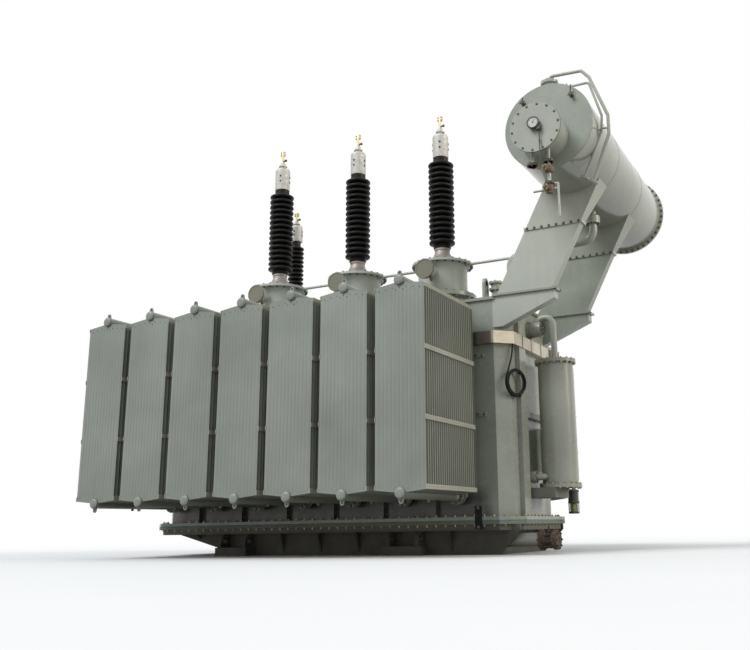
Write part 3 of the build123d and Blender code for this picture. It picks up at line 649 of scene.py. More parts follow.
# Bushings: a shed and a head as shares of their sizes, then the sizes of both kinds
SHED_CURVE = (
    (0.00, 0.00), (0.10, 0.05), (0.62, 0.10), (0.86, 0.15), (0.97, 0.24), (1.00, 0.36),
    (0.98, 0.48), (0.90, 0.58), (0.62, 0.70), (0.22, 0.84), (0.02, 0.97),
)
HEAD_CURVE = (
    (0.98, 0), (1, 0.02), (1, 0.80), (1.015, 0.82), (1.015, 0.845), (0.97, 0.86), (0.97, 0.885),
    (0.90, 0.925), (0.60, 0.975), (0.42, 1), (0.42, 1.06), (0.55, 1.065), (0.55, 1.12),
    (0.36, 1.13), (0.34, 1.23),
)
PHASE_SHEDS = dict(foot=3.470, top=4.624, count=15, core=0.100, rim=0.154, neck=0.040, upper=0.062)
PHASE_HEAD = dict(foot=4.620, radius=0.096, height=0.315)
PHASE_TURNS = (-73, -95, -71)
NEUTRAL_SHEDS = dict(foot=3.300, top=4.084, count=11, core=0.064, rim=0.105, neck=0.050, upper=0.070)
NEUTRAL_HEAD = dict(foot=4.080, radius=0.082, height=0.236, turned=-80)


def shed_stack(tag, x, y, foot, top, count, core, rim, neck, upper):
    """A bushing's rubber sheds with rounded rims over a bare brown foot."""
    shape = Shape()
    step = (top - foot - neck - upper) / count
    profile = [(core, neck - 0.002)]
    for i in range(count):
        profile += [(core + (rim - core) * out, neck + (i + up) * step) for out, up in SHED_CURVE]
    profile.append((core, top - foot - upper + 0.002))
    shape.lathe(profile, (x, y, foot), UP, 56)
    shape.lathe([(core * 0.93, 0), (core * 0.93, upper + 0.002)], (x, y, top - upper), UP, 40, 1)
    collar = [(core * 1.03, 0), (core * 1.05, 0.012), (core * 0.98, 0.02), (core * 0.96, neck)]
    shape.lathe(collar, (x, y, foot), UP, 40, 1)
    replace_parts(shape.piece(f"sheds_{tag}", "insulator_rubber", "shed", "neck"), f"insulator_{tag}")


def head(tag, x, y, foot, radius, height, turned):
    """A bushing's metal head with its shoulder, vent ring, screws, stud and clamp."""
    shape = Shape()

    def at(across, out, share):
        """A point beside the head's axis, at a share of its height."""
        return Vector((x + across, y + out, foot + height * share))

    profile = [(radius * 0.90, -0.004)] + [(radius * out, height * up) for out, up in HEAD_CURVE]
    shape.lathe(profile, at(0, 0, 0), UP, 48)
    stud = ((0.019, 1.22), (0.019, 1.50), (0.0175, 1.505), (0.0175, 1.76), (0.014, 1.78))
    shape.lathe([(thick, height * up) for thick, up in stud], at(0, 0, 0), UP, 20, 2)
    for out in directions(UP, 4, math.radians(turned), RIGHT):
        for level in (0.36, 0.58):
            screw = at(0, 0, level) + out * radius * 0.985
            shape.lathe([(0.013, 0), (0.013, 0.006), (0.009, 0.008)], screw, out, 12, 1)
            shape.lathe([(0.020, 0), (0.019, 0.0035)], screw, out, 14)
    for out in directions(UP, 6, 0.3, RIGHT):
        shape.bolt(at(0, 0, 0.945) + out * radius * 0.72, UP, 0.015, 3)
    shape.block(at(-0.034, -0.012, 1.56), at(0.034, 0.012, 1.76), 0.003, 2)
    for across in (-0.024, 0.024):
        for level in (1.61, 1.71):
            shape.bolt(at(across, -0.012, level), NEAR, 0.011, 3)
    shape.rod(at(0, 0, 1.33), at(0.045, -0.01, 1.33), 0.009, 10, 1)
    shape.lathe([(0.016, 0), (0.016, 0.02)], at(0.040, -0.01, 1.33), RIGHT, 12, 1)
    piece = shape.piece(f"head_{tag}", "cap_aluminium", "cap", "dark", "brass", "zinc")
    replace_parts(piece, f"bushing_cap_{tag}")


for number, (x, turned) in enumerate(zip(PHASES, PHASE_TURNS), 1):
    shed_stack(number, x, 0, **PHASE_SHEDS)
    head(number, x, 0, turned=turned, **PHASE_HEAD)
shed_stack("neutral", *NEUTRAL, **NEUTRAL_SHEDS)
head("neutral", *NEUTRAL, **NEUTRAL_HEAD)


# Turrets: shell with a bolted flange, the bushing's metal mouth and a round terminal box
TURRET_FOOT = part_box("turret_1")[0].z
TURRET_FLANGE = (3.230, 3.261)
PEDESTAL_FLANGE = 0.045
TERMINAL_BOX = (-0.250, 3.102)
BOX_RIM = 0.224


def turret(number, x):
    """One turret; heights of its shell are real ones, those of its mouth start at the flange."""
    shape = Shape()
    under, top = TURRET_FLANGE
    shell = [
        (0.288, TURRET_FOOT), (0.288, under - 0.008), (0.292, under), (0.358, under),
        (0.362, under + 0.004), (0.362, top - 0.004), (0.358, top), (0.172, top),
        (0.172, top + 0.031), (0.168, top + 0.035), (0.120, top + 0.035),
    ]
    shape.lathe(shell, (x, 0, 0), UP, 72)
    mouth = [
        (0.160, 0.033), (0.158, 0.045), (0.138, 0.073), (0.110, 0.105), (0.092, 0.141),
        (0.086, 0.175), (0.092, 0.179), (0.094, 0.193), (0.090, 0.205), (0.084, 0.209),
    ]
    shape.lathe(mouth, (x, 0, top), UP, 56, 1)
    box = Vector((x, *TERMINAL_BOX))
    shape.lathe([(0.062, 0), (0.062, 0.206)], box, NEAR, 32)
    flange = [(0.070, 0.172), (0.104, 0.180), (0.106, 0.184), (0.106, 0.222), (0.104, 0.226)]
    shape.lathe(flange, box, NEAR, 44)
    lid = [
        (0.112, 0.222), (0.116, 0.226), (0.116, 0.246), (0.112, 0.251), (0.100, 0.251),
        (0.098, 0.2475), (0.03, 0.2475),
    ]
    shape.lathe(lid, box, NEAR, 44, 2)
    gland = box + Vector((0.060, -0.190, -0.142))
    shape.rod(gland + UP * 0.050, gland, 0.014, 12, 3)
    shape.lathe([(0.020, 0), (0.020, 0.016)], gland + UP * 0.018, UP, 6, 3)
    piece = shape.piece(f"turret_shell_{number}", "tank_paint", "pale", "mouth", "lid", "dull")
    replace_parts(piece, f"turret_{number}")


def bolt_turrets():
    """Bolts over and under the turrets' flanges and round the lids of their terminal boxes."""
    bolts = Shape()
    under, top = TURRET_FLANGE
    y, z = TERMINAL_BOX
    pedestal = TURRET_FOOT - PEDESTAL_FLANGE
    levels = ((top, 0.340, UP), (under, 0.340, DOWN), (TURRET_FOOT, 0.366, UP), (pedestal, 0.366, DOWN))
    for x in PHASES:
        for level, radius, way in levels:
            bolts.ring_of_bolts((x, 0, level), way, radius, 24, 0.019)
        bolts.ring_of_bolts((x, 0, top), UP, 0.200, 12, 0.020)
        bolts.ring_of_bolts((x, y - BOX_RIM, z), FAR, 0.100, 8, 0.012)
    for level, way in ((3.300, UP), (3.260, DOWN), (2.660, UP)):
        bolts.ring_of_bolts((*NEUTRAL, level), way, 0.116, 10, 0.018)
    bolts.piece("turret_bolts", "cap_aluminium", "dull")


for number, x in enumerate(PHASES, 1):
    turret(number, x)
bolt_turrets()


# Bolts round the tank's flange, one above and one below at each place
LIP, CUT = 0.135, 0.130
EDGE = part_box("flange_gasket")[1]
HALF_LENGTH, HALF_WIDTH = EDGE.x - LIP, EDGE.y - LIP
FLANGE_LOW, FLANGE_HIGH = 0.292, 0.366


def flange_places(out, step):
    """Places along the tank's eight-sided edge, moved out from the wall."""
    cut = CUT + 0.586 * out
    length, width = HALF_LENGTH + out, HALF_WIDTH + out
    corners = [
        (length - cut, -width), (length, -width + cut), (length, width - cut), (length - cut, width),
        (cut - length, width), (-length, width - cut), (-length, cut - width), (cut - length, -width),
    ]
    for start, end in zip(corners, corners[1:] + corners[:1]):
        start, end = Vector((*start, 0)), Vector((*end, 0))
        count = max(1, round((end - start).length / step))
        for i in range(count):
            yield start.lerp(end, (i + 0.5) / count)


def bolt_flange():
    bolts = Shape()
    for at in flange_places(LIP - 0.045, 0.105):
        bolts.bolt((at.x, at.y, FLANGE_HIGH), UP, 0.021, 0, 0.007)
        bolts.bolt((at.x, at.y, FLANGE_LOW), DOWN, 0.021, 0, 0.007)
    bolts.piece("flange_bolts", "dark_paint", "zinc")


bolt_flange()


# Control cable: a drop from the duct into a hanging coil of three and a half turns
CABLE = 0.009
COIL = dict(
    centre=Vector((2.255, -0.530, 1.710)),
    across=Vector((0.383, 0.924, 0)).normalized(),
    facing=Vector((0.924, -0.383, 0)).normalized(),
    radius=0.132,
)
COIL_START, COIL_STEP, COIL_POINTS = math.radians(146), math.radians(15), 82
LANES = ((1, -1), (-1, -1), (-1, 1), (1, 1))
LANE_OFFSET = 0.0097
LANE_CHANGE = math.radians(60)


def in_coil(across, up, facing=0.0):
    """A point measured from the coil's centre, in its own plane and out of it."""
    return COIL["centre"] + COIL["across"] * across + UP * up + COIL["facing"] * facing


def on_coil(angle, out=0.0, facing=0.0):
    """A point at an angle round the coil."""
    radius = COIL["radius"] + out
    return in_coil(radius * math.cos(angle), radius * math.sin(angle), facing)


def lane(travelled):
    """Which of the bundle's four lanes a turn is in after an angle, and its share of a change."""
    left = travelled
    hold = math.radians(280)
    for number in range(3):
        if left <= hold:
            return number, 0.0
        left -= hold
        if left < LANE_CHANGE:
            return number, left / LANE_CHANGE
        left -= LANE_CHANGE
        hold = math.tau - 2 * LANE_CHANGE
    return 3, 0.0


def cable_points():
    """The cable's route: down from the duct, then round the coil, a lane for each turn."""
    points = [in_coil(-0.030, 0.405), in_coil(-0.042, 0.292), in_coil(-0.083, 0.175, -0.007)]
    for i in range(COIL_POINTS):
        number, share = lane(i * COIL_STEP)
        one, two = LANES[number], LANES[min(3, number + 1)]
        out, side = (LANE_OFFSET * (a * (1 - share) + b * share) for a, b in zip(one, two))
        points.append(on_coil(COIL_START + i * COIL_STEP, out, side))
    return points


def control_cable():
    """The cable as one spline, with two ties round the coil."""
    points = cable_points()
    data = bpy.data.curves.new("control_cable_line", "CURVE")
    data.dimensions = "3D"
    spline = data.splines.new("NURBS")
    spline.points.add(len(points) - 1)
    for slot, at in zip(spline.points, points):
        slot.co = (*at, 1)
    spline.order_u = 3
    spline.use_endpoint_u = True
    data.resolution_u = 5
    data.bevel_depth = CABLE
    data.bevel_resolution = 4
    data.use_fill_caps = True
    data.materials.append(mats["black"])
    cable = bpy.data.objects.new("coiled_cable", data)
    scene.collection.objects.link(cable)
    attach(cable, "root")
    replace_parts(cable, "control_cable", "control_cable_coil")
    ties = Shape()
    tie = [(0.0225, -0.009), (0.0238, -0.007), (0.0238, 0.007), (0.0225, 0.009)]
    for angle in (math.radians(62), math.radians(-70)):
        at = on_coil(angle)
        ties.lathe(tie, at, COIL["facing"].cross(at - COIL["centre"]), 20)
    band = ties.piece("cable_ties", "cable_rubber", "black")
    tuple(points[0])


control_cable()


# Low-voltage bushings: brown porcelain on small flanges
def low_voltage():
    shape = Shape()
    shed = ((0.044, 0.010), (0.062, 0.016), (0.068, 0.021), (0.067, 0.030), (0.050, 0.042), (0.042, 0.052))
    profile = [(0.042, 0.0)]
    for i in range(4):
        profile += [(radius, i * 0.0575 + height) for radius, height in shed]
    profile += [(0.040, 0.228), (0.030, 0.230)]
    for along in (-0.590, 0, 0.590):
        foot = Vector((PHASES[1] + along, middle("low_voltage_bushings").y, COVER_TOP + 0.032))
        shape.lathe([(0.082, -0.032), (0.082, -0.004), (0.078, 0.0)], foot, UP, 32, 1)
        shape.lathe(profile, foot, UP, 36)
        shape.lathe([(0.030, 0.228), (0.030, 0.240), (0.016, 0.243), (0.016, 0.290)], foot, UP, 20, 2)
        shape.lathe([(0.026, 0.262), (0.026, 0.274)], foot, UP, 6, 2)
        shape.ring_of_bolts(foot, UP, 0.068, 6, 0.013, 3)
    piece = shape.piece("porcelain_bushings", "insulator_rubber", "neck", "tank", "brass", "zinc")
    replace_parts(piece, "low_voltage_bushings")


low_voltage()


# Level gauge: dark body, white dial with scale marks and a needle, and its lead below
def level_gauge():
    shape = Shape()
    at = middle("level_gauge")
    at.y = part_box("level_gauge")[1].y
    body = [
        (0.056, 0), (0.056, 0.028), (0.062, 0.032), (0.062, 0.050), (0.058, 0.056), (0.052, 0.057),
        (0.049, 0.050),
    ]
    shape.lathe(body, at, NEAR, 44)
    shape.lathe([(0.049, 0.045), (0.049, 0.0505)], at, NEAR, 40, 1)
    for i in range(11):
        a = math.radians(215 - i * 25)
        out = Vector((math.cos(a), 0, math.sin(a)))
        face = at + NEAR * 0.0508
        shape.rod(face + out * 0.036, face + out * 0.044, 0.0012 if i % 5 else 0.0022, 6, 2)
    a = math.radians(62)
    out = Vector((math.cos(a), 0, math.sin(a)))
    pivot = at + NEAR * 0.0515
    shape.rod(pivot - out * 0.010, pivot + out * 0.034, 0.0018, 6, 2)
    shape.disc(at + NEAR * 0.050, NEAR, 0.006, 0.004, 16, 0.001, 2)
    shape.block(at + Vector((0.024, -0.046, -0.078)), at + Vector((0.068, -0.004, -0.030)), 0.005)
    lead = at + Vector((0.050, -0.024, -0.078))
    shape.rod(lead, lead + DOWN * 0.327, 0.0055, 10)
    shape.lathe([(0.009, 0), (0.009, 0.03)], lead + DOWN * 0.122, UP, 6)
    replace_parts(shape.piece("dial_gauge", "dark_paint", "dark", "white", "black"), "level_gauge")


level_gauge()


# Silica-gel breather: glass body in a guard, dark head and its pipe up the wall
BREATHER_X, BREATHER_Y = 2.500, 0.470
PIPE_Y, PIPE_LOW, PIPE_HIGH = 0.680, 0.730, 2.055


def gel_breather():
    shape = Shape()
    x, y = BREATHER_X, BREATHER_Y
    foot = (x, y, 0)
    shape.lathe([(0.040, 0.392), (0.050, 0.396), (0.050, 0.410), (0.044, 0.414)], foot, UP, 32, 1)
    shape.lathe([(0.040, 0.410), (0.0415, 0.414), (0.0415, 0.500), (0.040, 0.504)], foot, UP, 36)
    top = [
        (0.050, 0.500), (0.062, 0.506), (0.062, 0.520), (0.056, 0.526), (0.056, 0.618),
        (0.062, 0.624), (0.062, 0.640), (0.030, 0.655),
    ]
    shape.lathe(top, foot, UP, 36, 1)
    for side in (-1, 1):
        inner, outer = sorted((side * 0.052, side * 0.056))
        shape.block((x + inner, y - 0.020, 0.3925), (x + outer, y + 0.020, 0.640), 0.001, 2)
    pipe = [
        (x, y, 0.650), (x, y, PIPE_LOW), (x, PIPE_Y, PIPE_LOW), (x, PIPE_Y, PIPE_HIGH),
        (2.211, 0.490, PIPE_HIGH),
    ]
    shape.sweep(pipe, 0.012, 14, 2, 0.05)
    for level in (1.05, 1.45, 1.85):
        shape.lathe([(0.016, 0), (0.016, 0.018)], (x, PIPE_Y, level), UP, 14, 3)
    shape.ring_of_bolts((x, y, 0.640), UP, 0.052, 6, 0.009, 3)
    piece = shape.piece("breather_body", "breather_glass", "gel", "dark", "cream", "zinc")
    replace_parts(piece, "gel_breather")


gel_breather()


# Drain: painted pipe, then a rusty cast valve between two flanges, with studs and a short stem
def drain():
    shape = Shape()
    low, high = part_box("drain_valve")
    start = Vector((low.x, middle("drain_valve").y, high.z - 0.096))
    shape.lathe([(0.068, 0), (0.068, 0.392)], start, RIGHT, 36, 1)
    shape.lathe([(0.096, 0.386), (0.096, 0.420), (0.092, 0.424)], start, RIGHT, 40)
    body = [
        (0.080, 0.424), (0.080, 0.440), (0.064, 0.452), (0.064, 0.496), (0.080, 0.508), (0.080, 0.524),
    ]
    shape.lathe(body, start, RIGHT, 40)
    flange = [
        (0.092, 0.524), (0.096, 0.528), (0.096, 0.566), (0.090, 0.574), (0.034, 0.5735), (0.030, 0.568),
    ]
    shape.lathe(flange, start, RIGHT, 40)
    shape.ring_of_bolts(start + RIGHT * 0.574, RIGHT, 0.079, 8, 0.016, 2, 0.004)
    shape.ring_of_bolts(start + RIGHT * 0.386, LEFT, 0.079, 8, 0.016, 2, 0.006)
    for out in directions(RIGHT, 8, 0.2, FAR):
        stud = start + out * 0.079
        shape.rod(stud + RIGHT * 0.422, stud + RIGHT * 0.526, 0.0062, 8, 2)
    stem = [(0.020, 0.062), (0.020, 0.090), (0.010, 0.092), (0.010, 0.130)]
    shape.lathe(stem, start + RIGHT * 0.474, UP, 20)
    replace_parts(shape.piece("drain_parts", "dark_paint", "rust", "cream", "rust"), "drain_valve")


drain()


# Conservator: bolts, seams and small fittings round it
DRUM_X, DRUM_Z = 3.016, 4.066
NECK_X, NECK_Z = 2.980, 3.940
DRUM_NEAR, DRUM_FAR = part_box("conservator_shell")[0].y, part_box("conservator_end_far")[0].y
COVER_NEAR, COVER_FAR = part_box("manhole_near")[0].y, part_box("conservator_end_far")[1].y
FILLER = (2.995, -1.215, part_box("conservator_shell")[1].z)
END_PLATE = 0.036
JOINT_Z, ARM_THICK = 3.300, 0.148
ARM_FEET = (2.085, 2.790)
RISER_X, DROP_X = 2.045, 3.030
PIPE_RUN = Vector((RISER_X, 0, 3.240)), Vector((DROP_X, 0, 3.300))


def conservator_bolts():
    """Bolts of the manholes, end plate and filler, of the arms' joints and of the oil pipe."""
    bolts = Shape()
    bolts.ring_of_bolts((NECK_X, COVER_NEAR, NECK_Z), NEAR, 0.232, 14, 0.014, start=0.2)
    bolts.ring_of_bolts((NECK_X, COVER_FAR, NECK_Z), FAR, 0.232, 14, 0.014)
    bolts.ring_of_bolts((DRUM_X, DRUM_FAR, DRUM_Z), NEAR, 0.470, 40, 0.017)
    bolts.ring_of_bolts((DRUM_X, DRUM_FAR + END_PLATE, DRUM_Z), FAR, 0.470, 40, 0.017)
    bolts.ring_of_bolts(FILLER, UP, 0.078, 8, 0.014)
    for arm in ("arm_near", "arm_far"):
        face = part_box(arm)[0].y
        for i in range(8):
            x = 2.505 + i * 0.080
            bolts.bolt((x, face, JOINT_Z), NEAR, 0.017)
            bolts.bolt((x, face + ARM_THICK, JOINT_Z), FAR, 0.017)
    for x, z, way in ((DROP_X, 3.560, UP), (DROP_X, 3.480, DOWN), (RISER_X, 2.644, UP)):
        bolts.ring_of_bolts((x, 0, z), way, 0.062, 8, 0.017)
    start, end = PIPE_RUN
    for share, way in ((0.380, start - end), (0.583, end - start)):
        bolts.ring_of_bolts(start.lerp(end, share), way, 0.076, 8, 0.015)
    bolts.piece("conservator_bolts", "tank_paint", "dull")


def conservator_fittings():
    """Seams of the drum and necks, cocks, an eye, the relay's window and the arms' feet."""
    shape = Shape()
    bead = [(0.4465, -0.006), (0.4495, -0.003), (0.4500, 0), (0.4495, 0.003), (0.4465, 0.006)]
    for y in (-1.3985, -0.40, 0.62):
        shape.lathe(bead, (DRUM_X, y, DRUM_Z), FAR, 72)
    for y, way in ((DRUM_NEAR, NEAR), (DRUM_FAR + END_PLATE, FAR)):
        shape.lathe([(0.242, -0.001), (0.238, 0.004), (0.231, 0.009)], (NECK_X, y, NECK_Z), way, 56)
    cock = [(0.022, 0), (0.022, 0.008), (0.011, 0.010), (0.011, 0.060)]
    for x, z, lever in ((2.775, 4.353, 0.05), (2.670, 4.115, 0.0), (3.272, 4.330, 0.10)):
        at = Vector((x, DRUM_NEAR, z))
        shape.lathe(cock, at, NEAR, 14, 1)
        shape.lathe([(0.018, 0), (0.018, 0.018)], at + NEAR * 0.046, NEAR, 6, 1)
        bar = at + NEAR * 0.052
        shape.rod(bar + Vector((-0.028, 0, -0.010)), bar + Vector((0.028, 0, 0.012)), 0.006, 8, 1)
        if lever:
            foot = at + NEAR * 0.048
            shape.rod(foot, foot + Vector((0.006, 0, lever)), 0.007, 8, 1)
    eye = [(-0.030, 0), (0.030, 0), (0.026, 0.050), (0.012, 0.070), (-0.012, 0.070), (-0.026, 0.050)]
    shape.plate(eye, 0.010, lambda u, v, depth: (3.195 + depth, -1.300 + u, 4.455 + v))
    window = (2.510, -0.062, 3.268)
    shape.lathe([(0.046, 0), (0.046, 0.010)], window, NEAR, 24)
    shape.lathe([(0.034, 0.008), (0.034, 0.014)], window, NEAR, 24, 2)
    joint = [(0.2515, -0.004), (0.2535, -0.003), (0.2535, 0.003), (0.2515, 0.004)]
    for y, way in ((COVER_NEAR + 0.017, NEAR), (COVER_FAR - 0.017, FAR)):
        shape.lathe(joint, (NECK_X, y, NECK_Z), way, 60, 1)
    start, end = ARM_FEET
    low, high = COVER_TOP - 0.004, COVER_TOP + 0.020
    for y, out in ((-0.680, -1), (0.560, -1), (-0.560, 1), (0.680, 1)):
        near, far = sorted((y - out * 0.004, y + out * 0.026))
        shape.block((start, near, low), (end, far, high), 0.002)
    for near, far in ((-0.704, -0.536), (0.536, 0.704)):
        shape.block((end - 0.030, near, low), (end, far, high), 0.002)
    shape.piece("conservator_fittings", "tank_paint", "tank", "dark", "white")


def pipe_valves():
    """Flanges and valves on the two pipes in front of the conservator."""
    valves = Shape()
    y = -1.5995
    left, right = 2.905, 3.068
    for x, low, high in ((left, 3.588, 3.612), (right, 3.600, 3.625), (right, 3.376, 3.400)):
        thick = high - low
        flange = [(0.050, 0), (0.052, 0.003), (0.052, thick - 0.003), (0.050, thick)]
        valves.lathe(flange, (x, y, low), UP, 28, 1)
        valves.ring_of_bolts((x, y, high), UP, 0.040, 4, 0.014, start=0.6)
        valves.ring_of_bolts((x, y, low), DOWN, 0.040, 4, 0.014, start=0.6)
    out = Vector((-0.3, -1, 0)).normalized()
    stem = [(0.028, 0), (0.028, 0.064), (0.034, 0.066), (0.034, 0.078), (0.012, 0.080), (0.012, 0.094)]
    for low, high in ((3.494, 3.566), (3.288, 3.378)):
        half = (high - low) / 2
        body = [
            (0.030, 0), (0.040, 0.006), (0.046, half - 0.010), (0.046, half + 0.010),
            (0.040, 2 * half - 0.006), (0.030, 2 * half),
        ]
        valves.lathe(body, (right, y, low), UP, 28)
        centre = Vector((right, y, low + half))
        valves.lathe(stem, centre, out, 20)
        valves.ring_of_bolts(centre + out * 0.078, out, 0.024, 4, 0.010, 2)
    valves.piece("valve_bodies", "dark_paint", "valve", "dark", "zinc")


conservator_bolts()
conservator_fittings()
pipe_valves()


# Small things on the tank and on its end wall
VESSEL_X, VESSEL_Y = middle("purifier_vessel").xy
UPPER_PIPE_Z = 2.375
LOWER_PIPE_Y, LOWER_PIPE_Z = -0.150, 0.765
WHEEL_X, WHEEL_RADIUS = 2.385, 0.062


def wall_fittings():
    """Joint covers on the duct, and bolted pads on the near wall."""
    shape = Shape()
    low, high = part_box("cable_duct")
    under, over = low.z - 0.003, high.z + 0.003
    for y in (-0.32, -0.05, 0.27):
        shape.block((high.x - 0.0005, y - 0.008, under), (high.x + 0.0025, y + 0.008, over), 0.001)
    for x in (1.62, 1.90):
        shape.block((x - 0.008, low.y - 0.0025, under), (x + 0.008, low.y + 0.0005, over), 0.001)
    wall = -HALF_WIDTH
    for x, z in ((1.915, 2.000), (1.925, 1.390)):
        shape.block((x - 0.055, wall - 0.016, z - 0.020), (x + 0.055, wall, z + 0.020), 0.002, 1)
        for shift in (-0.035, 0.035):
            shape.bolt((x + shift, wall - 0.016, z), NEAR, 0.016, 3)
    shape.piece("wall_fittings", "tank_paint", "dark", "tank", "black", "dull")


def fitting_bolts():
    """Bolts of the purifier, its pipes, the cover valve and the control box."""
    bolts = Shape()
    for z, way in ((2.010, UP), (1.974, DOWN), (0.691, UP), (0.655, DOWN)):
        bolts.ring_of_bolts((VESSEL_X, VESSEL_Y, z), way, 0.207, 18, 0.019)
    bolts.ring_of_bolts((2.232, VESSEL_Y, UPPER_PIPE_Z), RIGHT, 0.090, 8, 0.014)
    bolts.ring_of_bolts((2.365, VESSEL_Y, UPPER_PIPE_Z), RIGHT, 0.066, 8, 0.016)
    for x in (2.230, 2.306):
        bolts.ring_of_bolts((x, LOWER_PIPE_Y, LOWER_PIPE_Z), RIGHT, 0.050, 6, 0.014)
    valve = middle("cover_valve")
    bolts.ring_of_bolts((valve.x, valve.y, 2.832), UP, 0.060, 6, 0.015)
    bolts.ring_of_bolts((valve.x, valve.y, 2.740), DOWN, 0.060, 6, 0.015)
    low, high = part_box("control_box")
    for z in (low.z + 0.045, high.z - 0.045):
        for y in (low.y + 0.025, high.y - 0.025):
            bolts.bolt((high.x, y, z), RIGHT, 0.012)
    bolts.piece("fitting_bolts", "tank_paint", "zinc")


def box_fittings():
    """Door, latch, hinges and rain cover of the control box, and the upper pipe's plug and wheel."""
    shape = Shape()
    low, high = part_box("control_box")
    door = Vector((high.x + 0.006, high.y - 0.012, high.z - 0.012))
    shape.block((high.x - 0.001, low.y + 0.012, low.z + 0.012), door, 0.003)
    shape.block((door.x, 0.352, 1.060), (door.x + 0.012, 0.366, 1.120), 0.003, 1)
    for z in (0.92, 1.22):
        hinge = Vector((high.x + 0.002, high.y - 0.006, z))
        shape.rod(hinge + DOWN * 0.025, hinge + UP * 0.025, 0.007, 10)
    roof = high + Vector((0.015, 0.005, 0.006))
    shape.block((low.x + 0.015, low.y - 0.005, high.z - 0.002), roof, 0.003)
    shape.disc((2.300, VESSEL_Y, 2.459), UP, 0.020, 0.016, 16)
    hub = Vector((WHEEL_X, VESSEL_Y, UPPER_PIPE_Z))
    rim = [hub + out * WHEEL_RADIUS for out in directions(RIGHT, 16, side=FAR)]
    shape.sweep(rim + rim[:1], 0.006, 8, 1, 0.01)
    shape.rod((2.365, VESSEL_Y, UPPER_PIPE_Z), hub + RIGHT * 0.007, 0.010, 12, 1)
    for out in list(directions(RIGHT, 4, 0.3, FAR))[:2]:
        shape.rod(hub - out * 0.060, hub + out * 0.060, 0.004, 8, 1)
    shape.piece("box_fittings", "cream_paint", "cream", "dark")


def earth_strap():
    """Rubber sleeve over the strap between the two flanges, with its bolts."""
    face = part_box("bell_tank")[0].y - 0.0015
    strap = Shape()
    strap.block((1.879, face, 0.249), (1.956, face + 0.010, 0.471), 0.002)
    for z in (0.452, 0.268):
        strap.bolt((1.918, face, z), NEAR, 0.016, 1)
    strap.piece("earth_strap_sleeve", "dark_paint", "black", "dull")


def weld_beads():
    """Rings welded round the holes of the cover's lifting plates, and seams round the turrets."""
    beads = Shape()
    eye = [(0.046, 0), (0.044, 0.004), (0.031, 0.004), (0.030, 0)]
    for x in (-1.952, 1.952):
        for y in (-0.540, 0.540):
            for side in (LEFT, RIGHT):
                beads.lathe(eye, Vector((x, y, 2.810)) + side * 0.0135, side, 28)
    for x in PHASES:
        beads.lathe([(0.316, 0), (0.300, 0.006), (0.289, 0.014)], (x, 0, TURRET_FOOT), UP, 64)
        beads.lathe([(0.298, -0.001), (0.292, 0.006), (0.287, 0.011)], (x, 0, COVER_TOP), UP, 64)
    beads.piece("weld_beads", "tank_paint", "tank")


wall_fittings()
fitting_bolts()
box_fittings()
earth_strap()
weld_beads()


# Finish of the solids that no piece replaces
# The far arm takes the darker tank enamel and the near arm the pale one: shaded and lit copies of one
# paint, as painted shade and painted light.
dress("tank", "bell_tank", "tank_cover", "neutral_turret", "cover_valve", "arm_far")
dress("pale", "arm_near")
dress("gloss", "conservator_shell", "conservator_end_far", "manhole_near", "oil_pipe", "breather_pipes")
dress("cream", "purifier_vessel", "purifier_pipes", "control_box")
dress("steel", "cable_duct")
dress("base", "base_tank", "jacking_points", "purifier_stand")
dress("gasket", "flange_gasket")


# Stage: a pale floor that fades to white, soft daylight and two suns
FLOOR_HALF = 90.0
SKY = (
    (0.0, (0.30, 0.27, 0.22)), (0.10, (1.00, 0.88, 0.66)), (0.30, (0.80, 0.82, 0.84)),
    (1.0, (0.86, 0.95, 1.10)),
)
SKY_STRENGTH = 0.55


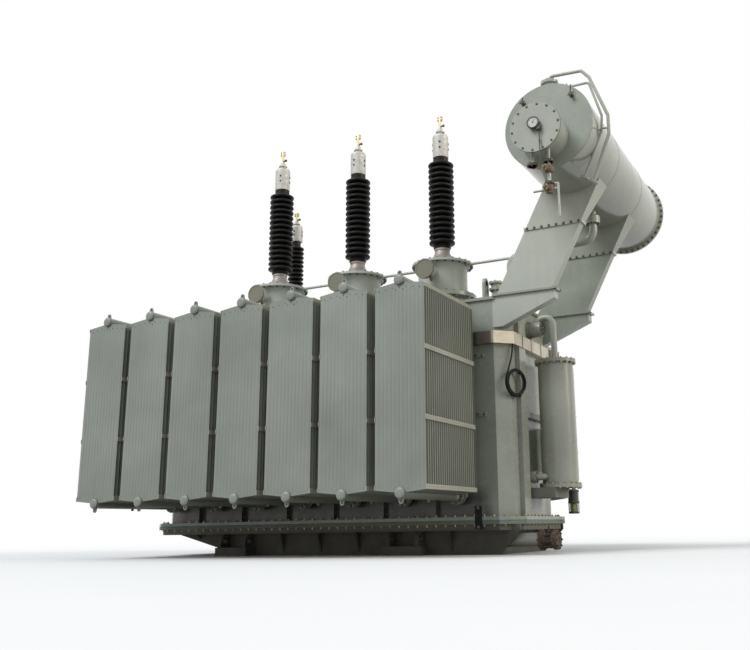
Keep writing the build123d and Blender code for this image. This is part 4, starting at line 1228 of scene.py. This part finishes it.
def set_floor():
    """A floor that looks pale, gives back less light than it shows, and glows white far away."""
    data = bpy.data.meshes.new("floor")
    corners = [(x * FLOOR_HALF, y * FLOOR_HALF, 0) for x, y in ((-1, -1), (1, -1), (1, 1), (-1, 1))]
    data.from_pydata(corners, [], [(0, 1, 2, 3)])
    floor = bpy.data.objects.new("floor", data)
    scene.collection.objects.link(floor)
    n = Nodes(bpy.data.materials.new("studio_floor"))
    seen = n.seen()
    pale = n.mix(n.span(n.noise(0.8, 3), 0.3, 0.7), (0.975, 0.975, 0.975), (0.995, 0.995, 0.995))
    n.finish(n.mix(seen, (0.23, 0.22, 0.20), pale), 0.9)
    away = n.new("VectorMath", n.surface["Position"])
    away.operation = "LENGTH"
    far = n.span(away.outputs["Value"], 5, 14)
    plain = n.tree.nodes["Principled BSDF"].outputs[0]
    blend = n.new("MixShader", n.times(far, seen), plain, n.new("Emission").outputs[0])
    n.put(blend.outputs[0], n.tree.nodes["Material Output"].inputs["Surface"])
    n.owner.cycles.emission_sampling = "NONE"
    data.materials.append(n.owner)


def set_world():
    """Sky colours by height for the lighting, and plain white for what looks past the object."""
    scene.world = bpy.data.worlds.new("world")
    n = Nodes(scene.world)
    n.tree.nodes.clear()
    ramp = n.new("ValToRGB", n.share(n.new("TexCoord").outputs["Generated"], "Z"))
    stops = ramp.color_ramp.elements
    for height, colour in SKY[1:-1]:
        stops.new(height)
    for stop, (height, colour) in zip(stops, SKY):
        stop.color = (*colour, 1)
    sky = n.new("Background", ramp.outputs[0], SKY_STRENGTH)
    white = n.new("Background", (1, 1, 1))
    mix = n.new("MixShader", n.seen(), sky.outputs[0], white.outputs[0])
    n.new("OutputWorld", mix.outputs[0])


def sun(name, direction, strength, angle, colour):
    """A sun that shines from a direction."""
    data = bpy.data.lights.new(name, "SUN")
    data.energy = strength
    data.angle = math.radians(angle)
    data.color = colour
    lamp = bpy.data.objects.new(name, data)
    lamp.rotation_euler = Vector(direction).to_track_quat("Z", "Y").to_euler()
    scene.collection.objects.link(lamp)


set_floor()
set_world()
sun("key", (-0.35, -0.62, 0.70), 1.60, 28, (0.985, 1.0, 0.985))
sun("warm", (0.93, 0.10, 0.36), 1.00, 25, (1.0, 0.92, 0.72))
scene.view_settings.view_transform = "Standard"
